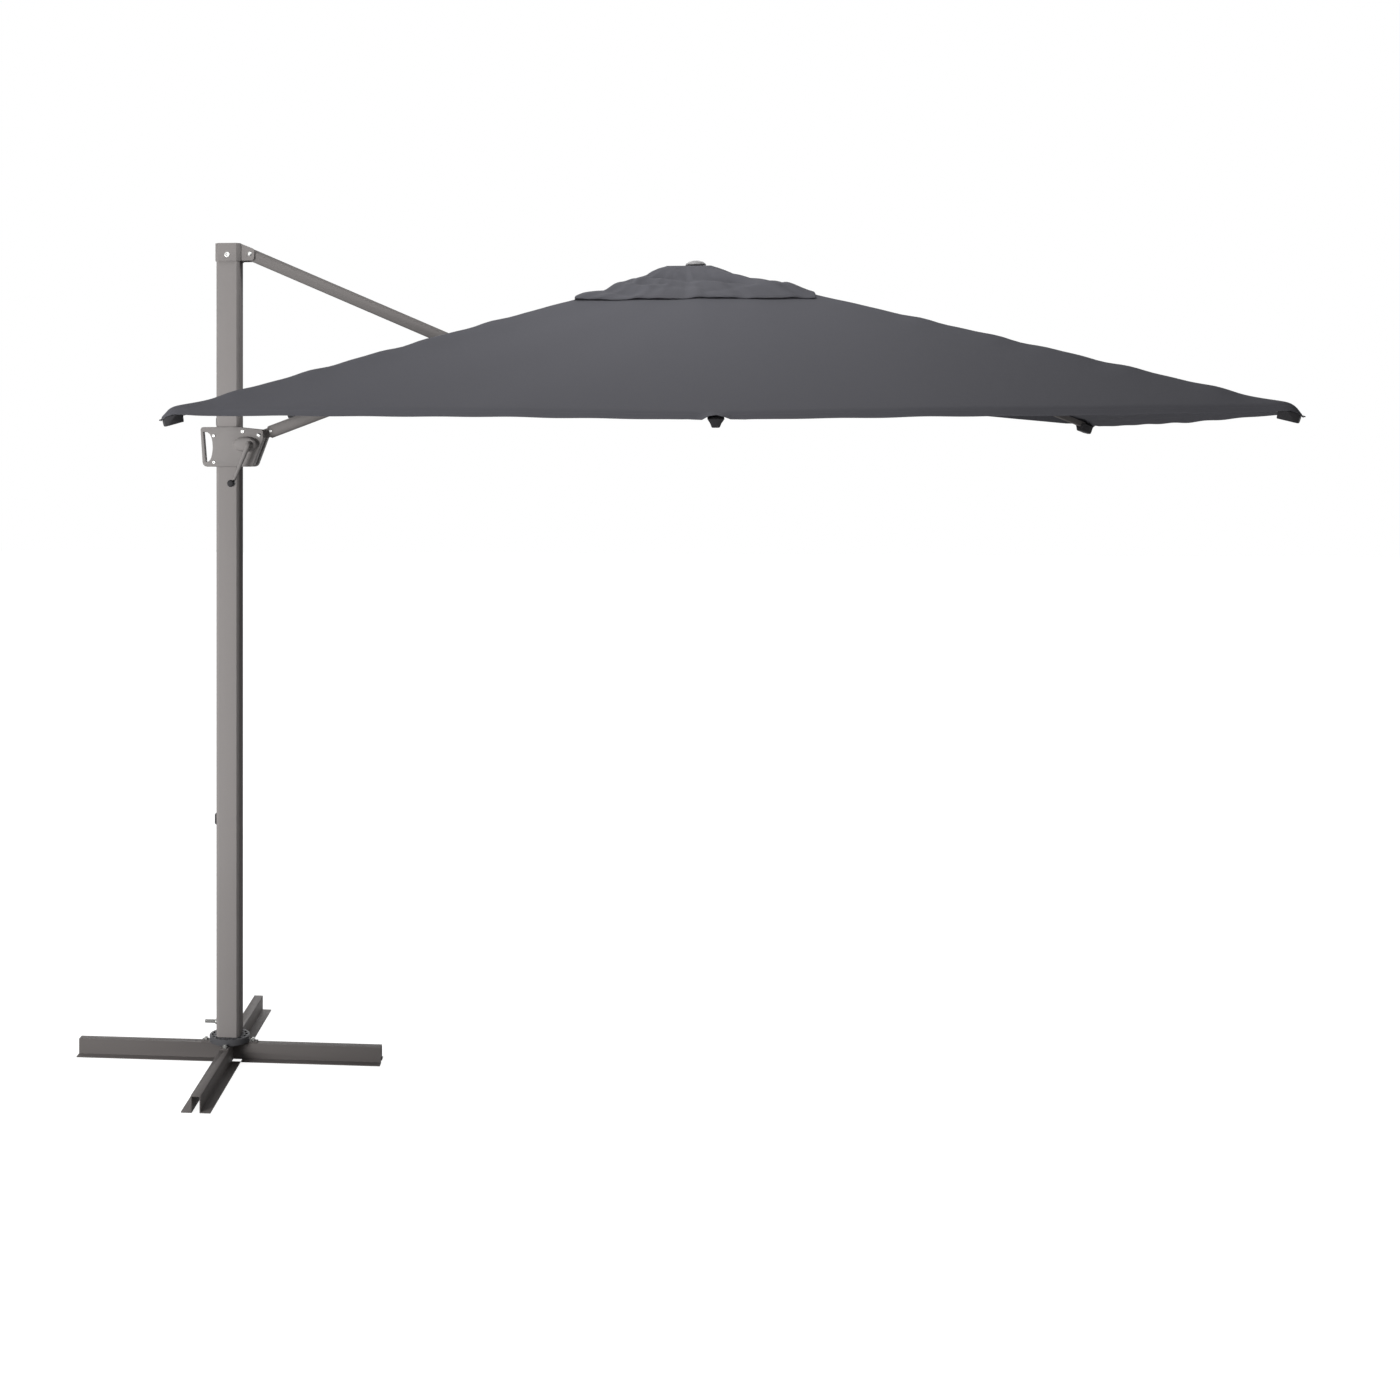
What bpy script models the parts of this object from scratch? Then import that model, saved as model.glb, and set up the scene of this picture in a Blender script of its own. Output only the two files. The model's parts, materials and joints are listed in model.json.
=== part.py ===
"""Cantilever parasol: a cross base, a swivelling square mast, a folding arm and a six-rib canopy.

Metres, +Z up. In the mast frame x runs from the mast to the canopy and the mast axis is at x = y = 0.
"""
import math

import bmesh
import bpy
from mathutils import Euler, Matrix, Vector

# General fits
FIT = 0.0003
CLOTH = 0.0008

# Cross base of two hat-section legs
LEG_LENGTH = 1.0
LEG_CHANNEL = 0.030
LEG_HEIGHT = 0.052
LEG_FLANGE = 0.030
LEG_WALL = 0.003

# Foot plate, its spigot, the slotted swivel ring and the four base bolts
PLATE_THICK = 0.004
PLATE_REACH = 0.092
SPIGOT_RADIUS = 0.0275
SPIGOT_WALL = 0.003
SPIGOT_HEIGHT = 0.240
RING_RADIUS = 0.0655
RING_HEIGHT = 0.020
RING_SLOTS = 12
RING_SLOT_WIDTH = 0.011
RING_SLOT_DEPTH = 0.007
BASE_BOLT_OFFSET = 0.078
BASE_BOLT_RADIUS = 0.004
NUT_RADIUS = 0.0075
NUT_HEIGHT = 0.0065

# Mast, its bush, stops and lock bolt
MAST_WIDTH = 0.076
MAST_WALL = 0.0022
MAST_CORNER = 0.0085
BUSH_HEIGHT = 0.120
LOCK_RISE = 0.040
LOCK_RADIUS = 0.005
LOCK_REACH = 0.044
STOP_WIDTH = 0.016
UPPER_STOP_Z = 2.066
UPPER_STOP_HEIGHT = 0.028
UPPER_STOP_DEPTH = 0.006
LOWER_STOP_Z = 0.762
LOWER_STOP_HEIGHT = 0.038
LOWER_STOP_DEPTH = 0.010

# Head cap on top of the mast, with two ears for the strut
CAP_TOP_Z = 2.6605
CAP_HEIGHT = 0.058
CAP_WALL = 0.0032
EAR_THICK = 0.005
EAR_MARGIN = 0.0157
PIN_RADIUS = 0.004

# Strut and arm: pivots in the mast frame, tilts in degrees
STRUT_PIVOT_X = 0.070
STRUT_PIVOT_DROP = 0.0345
STRUT_RADIUS = 0.020
STRUT_TOP_REACH = 0.010
ARM_PIVOT_X = 0.105
ARM_PIVOT_Z = 2.035
ARM_TILT = 20.5
ARM_RADIUS = 0.0205
TUBE_WALL = 0.002
TONGUE_THICK = 0.032
EYE_RADIUS = 0.0145
END_REACH = 0.030
PLUG_LENGTH = 0.035
ELBOW_ALONG_ARM = 0.7139
ELBOW_LIFT = 0.045
ELBOW_LENGTH = 0.060
SADDLE_WALL = 0.0055
FORK_PLATE = 0.006

# Carriage that slides on the mast
CARRIAGE_TOP = 0.027
CARRIAGE_BOTTOM = 0.102
CARRIAGE_LEFT = -0.087
CARRIAGE_RIGHT = 0.121
CARRIAGE_HALF_DEPTH = 0.0505
CARRIAGE_CLEARANCE = 0.0025
SLOT_START = 0.046
HANDLE_GRIP = 0.009
HANDLE_SLANT = 0.008
HANDLE_DEPTH = 0.030
HANDLE_HOLE_HEIGHT = 0.098
GEARBOX_DEPTH = 0.020
GEARBOX_HALF_WIDTH = 0.043
GEARBOX_HALF_HEIGHT = 0.025
GEARBOX_BOSS = 0.0135
GEARBOX_SHIFT = 0.016

# Crank
CRANK_X = 0.078
CRANK_DROP = 0.029
CRANK_LENGTH = 0.136
CRANK_LEAN = 22.0
CRANK_BOSS_RADIUS = 0.009
CRANK_ARM_THICK = 0.009
SHAFT_RADIUS = 0.005
CRANK_TURNS = 8
KNOB_RADIUS = 0.012
KNOB_LENGTH = 0.034
KNOB_STUD = 0.0034

# Hub: crown, runner and finial
HUB_X = 1.512
HUB_REACH = 0.127
CROWN_RISE = 0.033
CROWN_RADIUS = 0.056
CROWN_HEIGHT = 0.034
CROWN_CORE = 0.028
HUB_TONGUE = 0.016
RIB_PIVOT_RADIUS = 0.046
RUNNER_DROP = 0.380
RUNNER_HEIGHT = 0.030
RUNNER_PIVOT_RADIUS = 0.060
RUNNER_MARGIN = 0.012
RUNNER_CORE = 0.030
FINIAL_RADIUS = 0.033
FINIAL_STEM = 0.010
FINIAL_DOME = 0.015

# Ribs, stretchers and end caps
CANOPY_LENGTH = 3.0
CANOPY_WIDTH = 2.0
RIB_DROP = 0.477
RIB_WIDTH = 0.012
RIB_HEIGHT = 0.020
RIB_WALL = 0.0012
RIB_ROOT = 0.009
RIB_END_INSET = 0.045
CLOSED_TILT = 82.0
STRETCHER_WIDTH = 0.010
STRETCHER_HEIGHT = 0.010
STRETCHER_PLACE = 0.50
BRACKET_DROP = 0.018
BRACKET_THICK = 0.004
END_CAP_LENGTH = 0.052
END_CAP_TOP = 0.046
END_CAP_WAIST = 0.030
END_CAP_FOOT = 0.021
END_CAP_DEPTH = 0.026
END_CAP_INSET = 0.013
END_CAP_MARGIN = 0.003

# Canopy cloth
VENT_SHARE = 0.244
OPENING_SHARE = 0.18
PLATEAU_SHARE = 0.058
VENT_RISE = 0.031
VENT_LAP = 0.0018
CLOTH_SAG = 0.004
SEAM_GAP = 0.0002
STRUT_SLIT_MARGIN = 0.062
STRUT_SLIT_HALF = 0.048

# Ribs in order round the hub: share of the half length, share of the half width, lift of the tip
RIBS = {
    "near_left": (-1, -1, 0.000),
    "near_mid": (0, -1, -0.010),
    "near_right": (1, -1, 0.004),
    "far_right": (1, 1, 0.000),
    "far_mid": (0, 1, 0.080),
    "far_left": (-1, 1, 0.065),
}
# How far each panel's hem is drawn in at its middle, by the rib that the panel starts from
HEM_DRAW = {
    "near_left": 0.016,
    "near_mid": 0.010,
    "near_right": 0.012,
    "far_right": 0.080,
    "far_mid": 0.050,
    "far_left": 0.030,
}

# Heights and points that follow from the sizes above
PLATE_Z = LEG_HEIGHT + FIT
RING_Z = PLATE_Z + PLATE_THICK + FIT
MAST_FOOT_Z = RING_Z + RING_HEIGHT + FIT
MAST_TOP_Z = CAP_TOP_Z - CAP_WALL - FIT
MAST_HALF = MAST_WIDTH / 2
CAP_HALF = MAST_HALF + FIT + CAP_WALL
EAR_GAP = TONGUE_THICK + 2 * FIT
STRUT_PIVOT_Z = CAP_TOP_Z - STRUT_PIVOT_DROP
STRUT_PIVOT = Vector((STRUT_PIVOT_X, 0, STRUT_PIVOT_Z))
STRUT_EAR_GAP = 2 * (STRUT_RADIUS + FIT)
ARM_PIVOT = Vector((ARM_PIVOT_X, 0, ARM_PIVOT_Z))
ARM_SPAN = HUB_X - HUB_REACH - ARM_PIVOT_X
ARM_LENGTH = ARM_SPAN / math.cos(math.radians(ARM_TILT))
ARM_TIP = ARM_PIVOT + Vector((ARM_SPAN, 0, ARM_LENGTH * math.sin(math.radians(ARM_TILT))))
HUB_CENTRE = ARM_TIP + Vector((HUB_REACH, 0, CROWN_RISE))
RUNNER_CENTRE = HUB_CENTRE - Vector((0, 0, RUNNER_DROP))
LOCK_PLACE = Vector((-MAST_HALF, 0, MAST_FOOT_Z + LOCK_RISE))
CRANK_Z = ARM_PIVOT_Z - CRANK_DROP
CRANK_PLACE = Vector((CRANK_X, -CARRIAGE_HALF_DEPTH - GEARBOX_DEPTH, CRANK_Z))
ORIGIN_X = (HUB_X + CANOPY_LENGTH / 2 - LEG_LENGTH / 2) / 2


def elbow_point():
    """The strut's lower pivot, above the arm's line by the elbow's lift."""
    arm = math.radians(ARM_TILT)
    along = Vector((math.cos(arm), 0, math.sin(arm)))
    above = Vector((-math.sin(arm), 0, math.cos(arm)))
    return ARM_PIVOT + ELBOW_ALONG_ARM * along + ELBOW_LIFT * above


ELBOW = elbow_point()
STRUT_LENGTH = (ELBOW - STRUT_PIVOT).length
STRUT_TILT = math.degrees(math.atan2(STRUT_PIVOT.z - ELBOW.z, ELBOW.x - STRUT_PIVOT.x))
STRUT_SLIT_END = ELBOW.x + STRUT_SLIT_MARGIN


class Rib:
    """One rib's place and the linkage of its stretcher, in the vertical plane of the rib."""

    def __init__(self, name):
        along, across, self.lift = RIBS[name]
        self.name = name
        self.plan = Vector((along * CANOPY_LENGTH / 2, across * CANOPY_WIDTH / 2))
        self.reach = self.plan.length
        self.heading = math.atan2(self.plan.y, self.plan.x)
        self.outward = Vector((math.cos(self.heading), math.sin(self.heading), 0))
        self.drop = RIB_DROP - self.lift
        self.tilt = math.atan2(self.drop, self.reach - RIB_PIVOT_RADIUS)
        self.length = (self.reach - RIB_PIVOT_RADIUS) / math.cos(self.tilt)
        ridge = RIB_DROP / self.reach if along else max(self.lift, 0) / (CANOPY_LENGTH / 2)
        self.cloth_gap = FIT + ridge * RIB_WIDTH
        self.pivot = HUB_CENTRE + RIB_PIVOT_RADIUS * self.outward

    def bracket(self, place, tilt):
        """Radius and height of the stretcher's pivot on the rib at a given tilt."""
        radius = RIB_PIVOT_RADIUS + place * math.cos(tilt) - BRACKET_DROP * math.sin(tilt)
        height = HUB_CENTRE.z - place * math.sin(tilt) - BRACKET_DROP * math.cos(tilt)
        return radius, height

    def stretcher_length(self, place):
        radius, height = self.bracket(place, self.tilt)
        return math.hypot(radius - RUNNER_PIVOT_RADIUS, height - RUNNER_CENTRE.z)

    def closed_runner(self, place):
        """Height of the runner when the rib hangs at the closed tilt."""
        radius, height = self.bracket(place, math.radians(CLOSED_TILT))
        return height - math.sqrt(self.stretcher_length(place) ** 2 - (radius - RUNNER_PIVOT_RADIUS) ** 2)

    def stretcher_place(self, runner_height):
        """Distance along the rib that lets the runner reach the same height when closed."""
        low, high = 0.3 * STRETCHER_PLACE, 2 * STRETCHER_PLACE
        for _ in range(60):
            middle = (low + high) / 2
            if self.closed_runner(middle) > runner_height:
                low = middle
            else:
                high = middle
        return (low + high) / 2

    def surface(self, share):
        """Height of the cloth over the rib at a share of its reach from the hub axis."""
        offset = (RIB_HEIGHT / 2 + self.cloth_gap + CLOTH) / math.cos(self.tilt)
        return HUB_CENTRE.z - (share * self.reach - RIB_PIVOT_RADIUS) * math.tan(self.tilt) + offset


RIB_LIST = [Rib(name) for name in RIBS]
CLOSED_RUNNER_Z = RIB_LIST[0].closed_runner(STRETCHER_PLACE)
DRUM_RADIUS = (RUNNER_CENTRE.z - CLOSED_RUNNER_Z) / (2 * math.pi * CRANK_TURNS)


# Scene, collections and materials
for leftover in list(bpy.data.objects):
    bpy.data.objects.remove(leftover, do_unlink=True)
PARTS = bpy.data.collections.new("cantilever_parasol")
CUTTERS = bpy.data.collections.new("cutters")
bpy.context.scene.collection.children.link(PARTS)
bpy.context.scene.collection.children.link(CUTTERS)


def finish(name, colour, roughness, metallic):
    material = bpy.data.materials.new(name)
    material.use_nodes = True
    shader = material.node_tree.nodes["Principled BSDF"]
    shader.inputs["Base Color"].default_value = (*colour, 1)
    shader.inputs["Roughness"].default_value = roughness
    shader.inputs["Metallic"].default_value = metallic
    return material


TAUPE = finish("taupe_powder_coat", (0.27, 0.25, 0.24), 0.45, 0.3)
BASE_COAT = finish("dark_taupe_coat", (0.12, 0.105, 0.10), 0.5, 0.3)
DARK = finish("dark_plastic", (0.025, 0.025, 0.028), 0.5, 0.0)
GREY_PLASTIC = finish("grey_plastic", (0.24, 0.225, 0.215), 0.5, 0.0)
SILVER = finish("zinc_plated", (0.62, 0.62, 0.62), 0.3, 1.0)
PALE = finish("pale_grey_plastic", (0.5, 0.5, 0.5), 0.4, 0.0)
CLOTH_GREY = finish("canopy_cloth", (0.085, 0.085, 0.095), 0.9, 0.0)


# Frames that the pieces hang on, all in the mast frame under one origin
ROOT = bpy.data.objects.new("parasol_origin", None)
PARTS.objects.link(ROOT)
ROOT.location = (-ORIGIN_X, 0, 0)
FRAMES = {}


def frame(name, place, tilt=0.0, heading=0.0):
    """An empty on a joint's axis; local +x points along the heading and down by the tilt."""
    empty = bpy.data.objects.new(name, None)
    PARTS.objects.link(empty)
    empty.parent = ROOT
    empty.location = place
    empty.rotation_euler = (0, tilt, heading)
    FRAMES[name] = Matrix.Translation(place) @ Euler((0, tilt, heading)).to_matrix().to_4x4()
    return empty


# Outlines
def circle(radius, centre=(0, 0), count=20):
    turn = 2 * math.pi / count
    angles = [k * turn for k in range(count)]
    return [(centre[0] + radius * math.cos(a), centre[1] + radius * math.sin(a)) for a in angles]


def rounded(corners, radius, steps=3):
    """The corners' outline with each corner turned into an arc; radius is one value or one a corner."""
    radii = radius if isinstance(radius, (list, tuple)) else [radius] * len(corners)
    points = []
    for index, corner in enumerate(corners):
        middle = Vector(corner)
        if radii[index] == 0:
            points.append(tuple(middle))
            continue
        to_last = (Vector(corners[index - 1]) - middle).normalized()
        to_next = (Vector(corners[(index + 1) % len(corners)]) - middle).normalized()
        half = to_last.angle(to_next) / 2
        centre = middle + (to_last + to_next).normalized() * radii[index] / math.sin(half)
        start = middle + to_last * radii[index] / math.tan(half) - centre
        end = middle + to_next * radii[index] / math.tan(half) - centre
        sweep = start.angle(end)
        for step in range(steps + 1):
            part = step / steps
            point = (start * math.sin((1 - part) * sweep) + end * math.sin(part * sweep)) / math.sin(sweep)
            points.append(tuple(centre + point))
    return points


def square(half, corner):
    """A square whose corners are cut off flat."""
    return rounded([(half, half), (-half, half), (-half, -half), (half, -half)], corner, 1)


# Solids as meshes
FACING = {
    "Z": Matrix.Identity(4),
    "Y": Matrix(((1, 0, 0, 0), (0, 0, -1, 0), (0, 1, 0, 0), (0, 0, 0, 1))),
    "X": Matrix(((0, 0, 1, 0), (1, 0, 0, 0), (0, 1, 0, 0), (0, 0, 0, 1))),
}


def prism(outline, low, high, facing="Z", holes=()):
    """An outline drawn across an axis and extruded along it from low to high."""
    along = -(low + high) / 2 if facing == "Y" else (low + high) / 2
    place = FACING[facing] @ Matrix.Translation((0, 0, along))
    if not holes:
        return plain_prism(outline, high - low, place)
    curve = bpy.data.curves.new("outline", "CURVE")
    curve.dimensions = "2D"
    curve.fill_mode = "BOTH"
    curve.extrude = (high - low) / 2
    for points in (outline, *holes):
        spline = curve.splines.new("POLY")
        spline.points.add(len(points) - 1)
        for target, point in zip(spline.points, points):
            target.co = (*point, 0, 1)
        spline.use_cyclic_u = True
    drawn = bpy.data.objects.new("outline", curve)
    CUTTERS.objects.link(drawn)
    evaluated = drawn.evaluated_get(bpy.context.evaluated_depsgraph_get())
    mesh = bpy.data.meshes.new_from_object(evaluated)
    bpy.data.objects.remove(drawn)
    mesh.transform(place)
    bm = bmesh.new()
    bm.from_mesh(mesh)
    bmesh.ops.remove_doubles(bm, verts=bm.verts, dist=1e-6)
    bmesh.ops.recalc_face_normals(bm, faces=bm.faces)
    bm.to_mesh(mesh)
    bm.free()
    return mesh


def plain_prism(outline, depth, place):
    """A prism with one face at each end, centred on its axis and then put in place."""
    bm = bmesh.new()
    ends = [[bm.verts.new((x, y, z)) for x, y in outline] for z in (-depth / 2, depth / 2)]
    for end in ends:
        bm.faces.new(end)
    count = len(outline)
    for k in range(count):
        after = (k + 1) % count
        bm.faces.new((ends[0][k], ends[0][after], ends[1][after], ends[1][k]))
    bm.transform(place)
    bmesh.ops.remove_doubles(bm, verts=bm.verts, dist=1e-6)
    bmesh.ops.recalc_face_normals(bm, faces=bm.faces)
    mesh = bpy.data.meshes.new("prism")
    bm.to_mesh(mesh)
    bm.free()
    return mesh


def block(low, high):
    """A box between two corners."""
    size = Vector(high) - Vector(low)
    centre = (Vector(high) + Vector(low)) / 2
    bm = bmesh.new()
    bmesh.ops.create_cube(bm, size=1, matrix=Matrix.Translation(centre) @ Matrix.Diagonal((*size, 1)))
    mesh = bpy.data.meshes.new("block")
    bm.to_mesh(mesh)
    bm.free()
    return mesh


def rod(radius, low, high, facing="Z", centre=(0, 0), count=20):
    return prism(circle(radius, centre, count), low, high, facing)


def pipe(radius, wall, low, high, facing="X", count=20):
    return prism(circle(radius, count=count), low, high, facing, [circle(radius - wall, count=count)])


# Objects
def piece(name, mesh, material, parent, place=(0, 0, 0), turn=(0, 0, 0)):
    """A named sub-part at a place in its parent's frame."""
    obj = bpy.data.objects.new(name, mesh)
    PARTS.objects.link(obj)
    obj.parent = parent
    obj.location = place
    obj.rotation_euler = turn
    mesh.materials.clear()
    mesh.materials.append(material)
    mesh.shade_smooth()
    mesh.set_sharp_from_angle(angle=math.radians(30))
    return obj


def shape_with(obj, mesh, operation):
    """Cut a mesh out of a piece, or join it on; the mesh lies in the frame of the piece's parent."""
    tool = bpy.data.objects.new(obj.name + "_" + operation.lower(), mesh)
    CUTTERS.objects.link(tool)
    tool.parent = obj.parent
    tool.hide_render = True
    tool.display_type = "WIRE"
    modifier = obj.modifiers.new(operation.lower(), "BOOLEAN")
    modifier.operation = operation
    modifier.solver = "EXACT"
    modifier.object = tool


def cut(obj, mesh):
    shape_with(obj, mesh, "DIFFERENCE")


def join(obj, mesh):
    shape_with(obj, mesh, "UNION")


def turned(name, profile, material, parent, place=(0, 0, 0), turn=(0, 0, 0), steps=14):
    """A profile of radius and height, listed from the top down, spun about the local z axis."""
    mesh = bpy.data.meshes.new(name)
    points = [(radius, 0, height) for radius, height in profile]
    mesh.from_pydata(points, [(k, k + 1) for k in range(len(points) - 1)], [])
    obj = piece(name, mesh, material, parent, place, turn)
    screw = obj.modifiers.new("spin", "SCREW")
    screw.steps = steps
    screw.render_steps = steps
    screw.use_merge_vertices = True
    screw.merge_threshold = 0.00001
    return obj


def pin(name, radius, grip, parent, place):
    """A headed pin along y that holds pieces over its grip."""
    head = 1.8 * radius
    rise = 0.8 * radius
    half = grip / 2 + FIT
    top = half + rise
    upper = [(0, top), (0.6 * head, top), (head, half + 0.4 * rise), (head, half), (radius, half)]
    lower = [(r, -z) for r, z in reversed(upper)]
    return turned(name, upper + lower, SILVER, parent, place, (math.pi / 2, 0, 0))


def soften(obj, face_y, width):
    """Bevel the edges round one face across y."""
    weights = obj.data.attributes.new("bevel_weight_edge", "FLOAT", "EDGE")
    for edge in obj.data.edges:
        ends = [obj.data.vertices[k].co.y for k in edge.vertices]
        if all(abs(y - face_y) < 1e-6 for y in ends):
            weights.data[edge.index].value = 1.0
    bevel = obj.modifiers.new("soft_edge", "BEVEL")
    bevel.limit_method = "WEIGHT"
    bevel.width = width
    bevel.segments = 2


# Cross base
def hat_section():
    half = LEG_CHANNEL / 2
    right = [
        (half - LEG_WALL, LEG_HEIGHT - LEG_WALL),
        (half - LEG_WALL, 0),
        (half + LEG_FLANGE, 0),
        (half + LEG_FLANGE, LEG_WALL),
        (half, LEG_WALL),
        (half, LEG_HEIGHT),
    ]
    return right + [(-y, z) for y, z in reversed(right)]


def make_base(base):
    half = LEG_CHANNEL / 2
    wing = half + LEG_FLANGE
    clear = wing + 2 * FIT
    lap = LEG_HEIGHT / 2
    end = LEG_LENGTH / 2
    long_leg = piece("leg_along", prism(hat_section(), -end, end, "X"), BASE_COAT, base)
    cross_leg = piece("leg_across", prism(hat_section(), -end, end, "Y"), BASE_COAT, base)
    low_z, over = -LEG_WALL, 2 * LEG_HEIGHT
    cut(long_leg, block((-half - FIT, -clear, lap), (half + FIT, clear, over)))
    cut(cross_leg, block((-clear, -half - FIT, low_z), (clear, half + FIT, lap + FIT)))
    for side in (-1, 1):
        near, far = sorted((side * (half + FIT / 2), side * 2 * clear))
        cut(long_leg, block((-clear, near, low_z), (clear, far, 2 * LEG_WALL)))
        cut(cross_leg, block((near, -clear, low_z), (far, clear, 2 * LEG_WALL)))

    arm = half - LEG_WALL / 3
    quarter = [(arm, arm), (arm, PLATE_REACH), (-arm, PLATE_REACH), (-arm, arm)]
    turns = [(1, 0, 0, 1), (0, -1, 1, 0), (-1, 0, 0, -1), (0, 1, -1, 0)]
    plus = []
    for a, b, c, d in turns:
        plus += [(a * x + b * y, c * x + d * y) for x, y in quarter[:3]]
    plate = piece("foot_plate", prism(plus, PLATE_Z, PLATE_Z + PLATE_THICK), BASE_COAT, base)
    spigot_ring = [circle(SPIGOT_RADIUS - SPIGOT_WALL, count=24)]
    spigot_top = MAST_FOOT_Z + SPIGOT_HEIGHT
    join(plate, prism(circle(SPIGOT_RADIUS, count=24), PLATE_Z, spigot_top, "Z", spigot_ring))

    slots = []
    step = 2 * math.pi / RING_SLOTS
    inner = RING_RADIUS - RING_SLOT_DEPTH
    open_half = RING_SLOT_WIDTH / 2 / RING_RADIUS
    for index in range(RING_SLOTS):
        middle = index * step
        for angle, radius in (
            (middle - open_half, RING_RADIUS),
            (middle - open_half, inner),
            (middle + open_half, inner),
            (middle + open_half, RING_RADIUS),
            (middle + step / 2, RING_RADIUS),
        ):
            slots.append((radius * math.cos(angle), radius * math.sin(angle)))
    bore = [circle(SPIGOT_RADIUS + FIT, count=24)]
    piece("swivel_ring", prism(slots, RING_Z, RING_Z + RING_HEIGHT, "Z", bore), DARK, base)

    offsets = [(BASE_BOLT_OFFSET, 0), (0, BASE_BOLT_OFFSET), (-BASE_BOLT_OFFSET, 0), (0, -BASE_BOLT_OFFSET)]
    under = LEG_HEIGHT - LEG_WALL - FIT
    above = PLATE_Z + PLATE_THICK + FIT
    for index, (x, y) in enumerate(offsets):
        leg = long_leg if y == 0 else cross_leg
        for target in (plate, leg):
            cut(target, rod(BASE_BOLT_RADIUS + FIT, lap, above, centre=(x, y), count=12))
        shank = rod(BASE_BOLT_RADIUS, under - NUT_HEIGHT, above + 1.6 * NUT_HEIGHT, count=12)
        bolt = piece(f"base_bolt_{index + 1}", shank, SILVER, base, (x, y, 0))
        for low in (under - NUT_HEIGHT, above):
            join(bolt, rod(NUT_RADIUS, low, low + NUT_HEIGHT, centre=(x, y), count=6))


# Mast with the pieces fixed to it
def make_mast(mast):
    inner = MAST_HALF - MAST_WALL
    inner_corner = MAST_CORNER - MAST_WALL
    tube = prism(square(MAST_HALF, MAST_CORNER), MAST_FOOT_Z, MAST_TOP_Z, "Z", [square(inner, inner_corner)])
    tube = piece("mast_tube", tube, TAUPE, mast)
    bush_top = MAST_FOOT_Z + BUSH_HEIGHT
    bush = prism(
        square(inner - FIT, inner_corner), MAST_FOOT_Z, bush_top, "Z", [circle(SPIGOT_RADIUS + FIT, count=24)]
    )
    bush = piece("mast_bush", bush, DARK, mast)
    for target in (tube, bush):
        lock_end = LOCK_PLACE.x + 2 * MAST_WALL
        lock_hole = rod(LOCK_RADIUS + FIT, -MAST_WIDTH, lock_end, "X", (0, LOCK_PLACE.z), 12)
        cut(target, lock_hole)

    for name, low, height, depth in (
        ("upper_stop", UPPER_STOP_Z, UPPER_STOP_HEIGHT, UPPER_STOP_DEPTH),
        ("lower_stop", LOWER_STOP_Z, LOWER_STOP_HEIGHT, LOWER_STOP_DEPTH),
    ):
        face = -MAST_HALF - FIT
        side = rounded(
            [(face, low), (face, low + height), (face - depth, low + height), (face - depth, low)],
            [0, 0, 0.6 * depth, 0.6 * depth],
        )
        piece(name, prism(side, -STOP_WIDTH / 2, STOP_WIDTH / 2, "Y"), DARK, mast)

    cap_corner = MAST_CORNER + FIT + CAP_WALL
    cap_block = prism(square(CAP_HALF, cap_corner), CAP_TOP_Z - CAP_HEIGHT, CAP_TOP_Z)
    cap = piece("head_cap", cap_block, TAUPE, mast)
    hollow = square(MAST_HALF + FIT, MAST_CORNER + FIT)
    low_z = CAP_TOP_Z - 2 * CAP_HEIGHT
    ear_end = STRUT_PIVOT_X + EAR_MARGIN
    ear_root = CAP_HALF - 2 * CAP_WALL
    bottom = CAP_TOP_Z - CAP_HEIGHT + CAP_WALL / 2
    ear = rounded(
        [
            (ear_root, bottom),
            (ear_end, bottom),
            (ear_end, STRUT_PIVOT_Z + EAR_MARGIN),
            (CAP_HALF, CAP_TOP_Z - CAP_WALL / 4),
            (ear_root, CAP_TOP_Z - CAP_WALL / 4),
        ],
        [0, 0.6 * EAR_MARGIN, 0.5 * EAR_MARGIN, 0, 0],
    )
    for side in (-1, 1):
        low, high = sorted((side * STRUT_EAR_GAP / 2, side * (STRUT_EAR_GAP / 2 + EAR_THICK)))
        join(cap, prism(ear, low, high, "Y"))
    cut(cap, prism(hollow, low_z, CAP_TOP_Z - CAP_WALL))
    pin_reach = STRUT_EAR_GAP / 2 + 2 * EAR_THICK
    pin_hole = rod(PIN_RADIUS + FIT, -pin_reach, pin_reach, "Y", (STRUT_PIVOT_X, STRUT_PIVOT_Z), 12)
    cut(cap, pin_hole)
    pin("strut_pin", PIN_RADIUS, STRUT_EAR_GAP + 2 * EAR_THICK, mast, STRUT_PIVOT)


def make_lock_bolt(lock):
    """The silver bolt that clamps the swivel, along -x out of the mast."""
    inside = 2 * MAST_WALL - FIT
    washer = 1.9 * LOCK_RADIUS
    profile = [
        (0, inside),
        (LOCK_RADIUS, inside),
        (LOCK_RADIUS, -FIT),
        (washer, -FIT),
        (washer, -FIT - 0.5 * LOCK_RADIUS),
        (1.2 * LOCK_RADIUS, -FIT - 0.5 * LOCK_RADIUS),
        (1.2 * LOCK_RADIUS, -0.75 * LOCK_REACH),
        (washer, -0.75 * LOCK_REACH),
        (washer, -LOCK_REACH),
        (0, -LOCK_REACH),
    ]
    turned("lock_bolt", profile, SILVER, lock, turn=(0, math.pi / 2, 0), steps=12)


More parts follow.
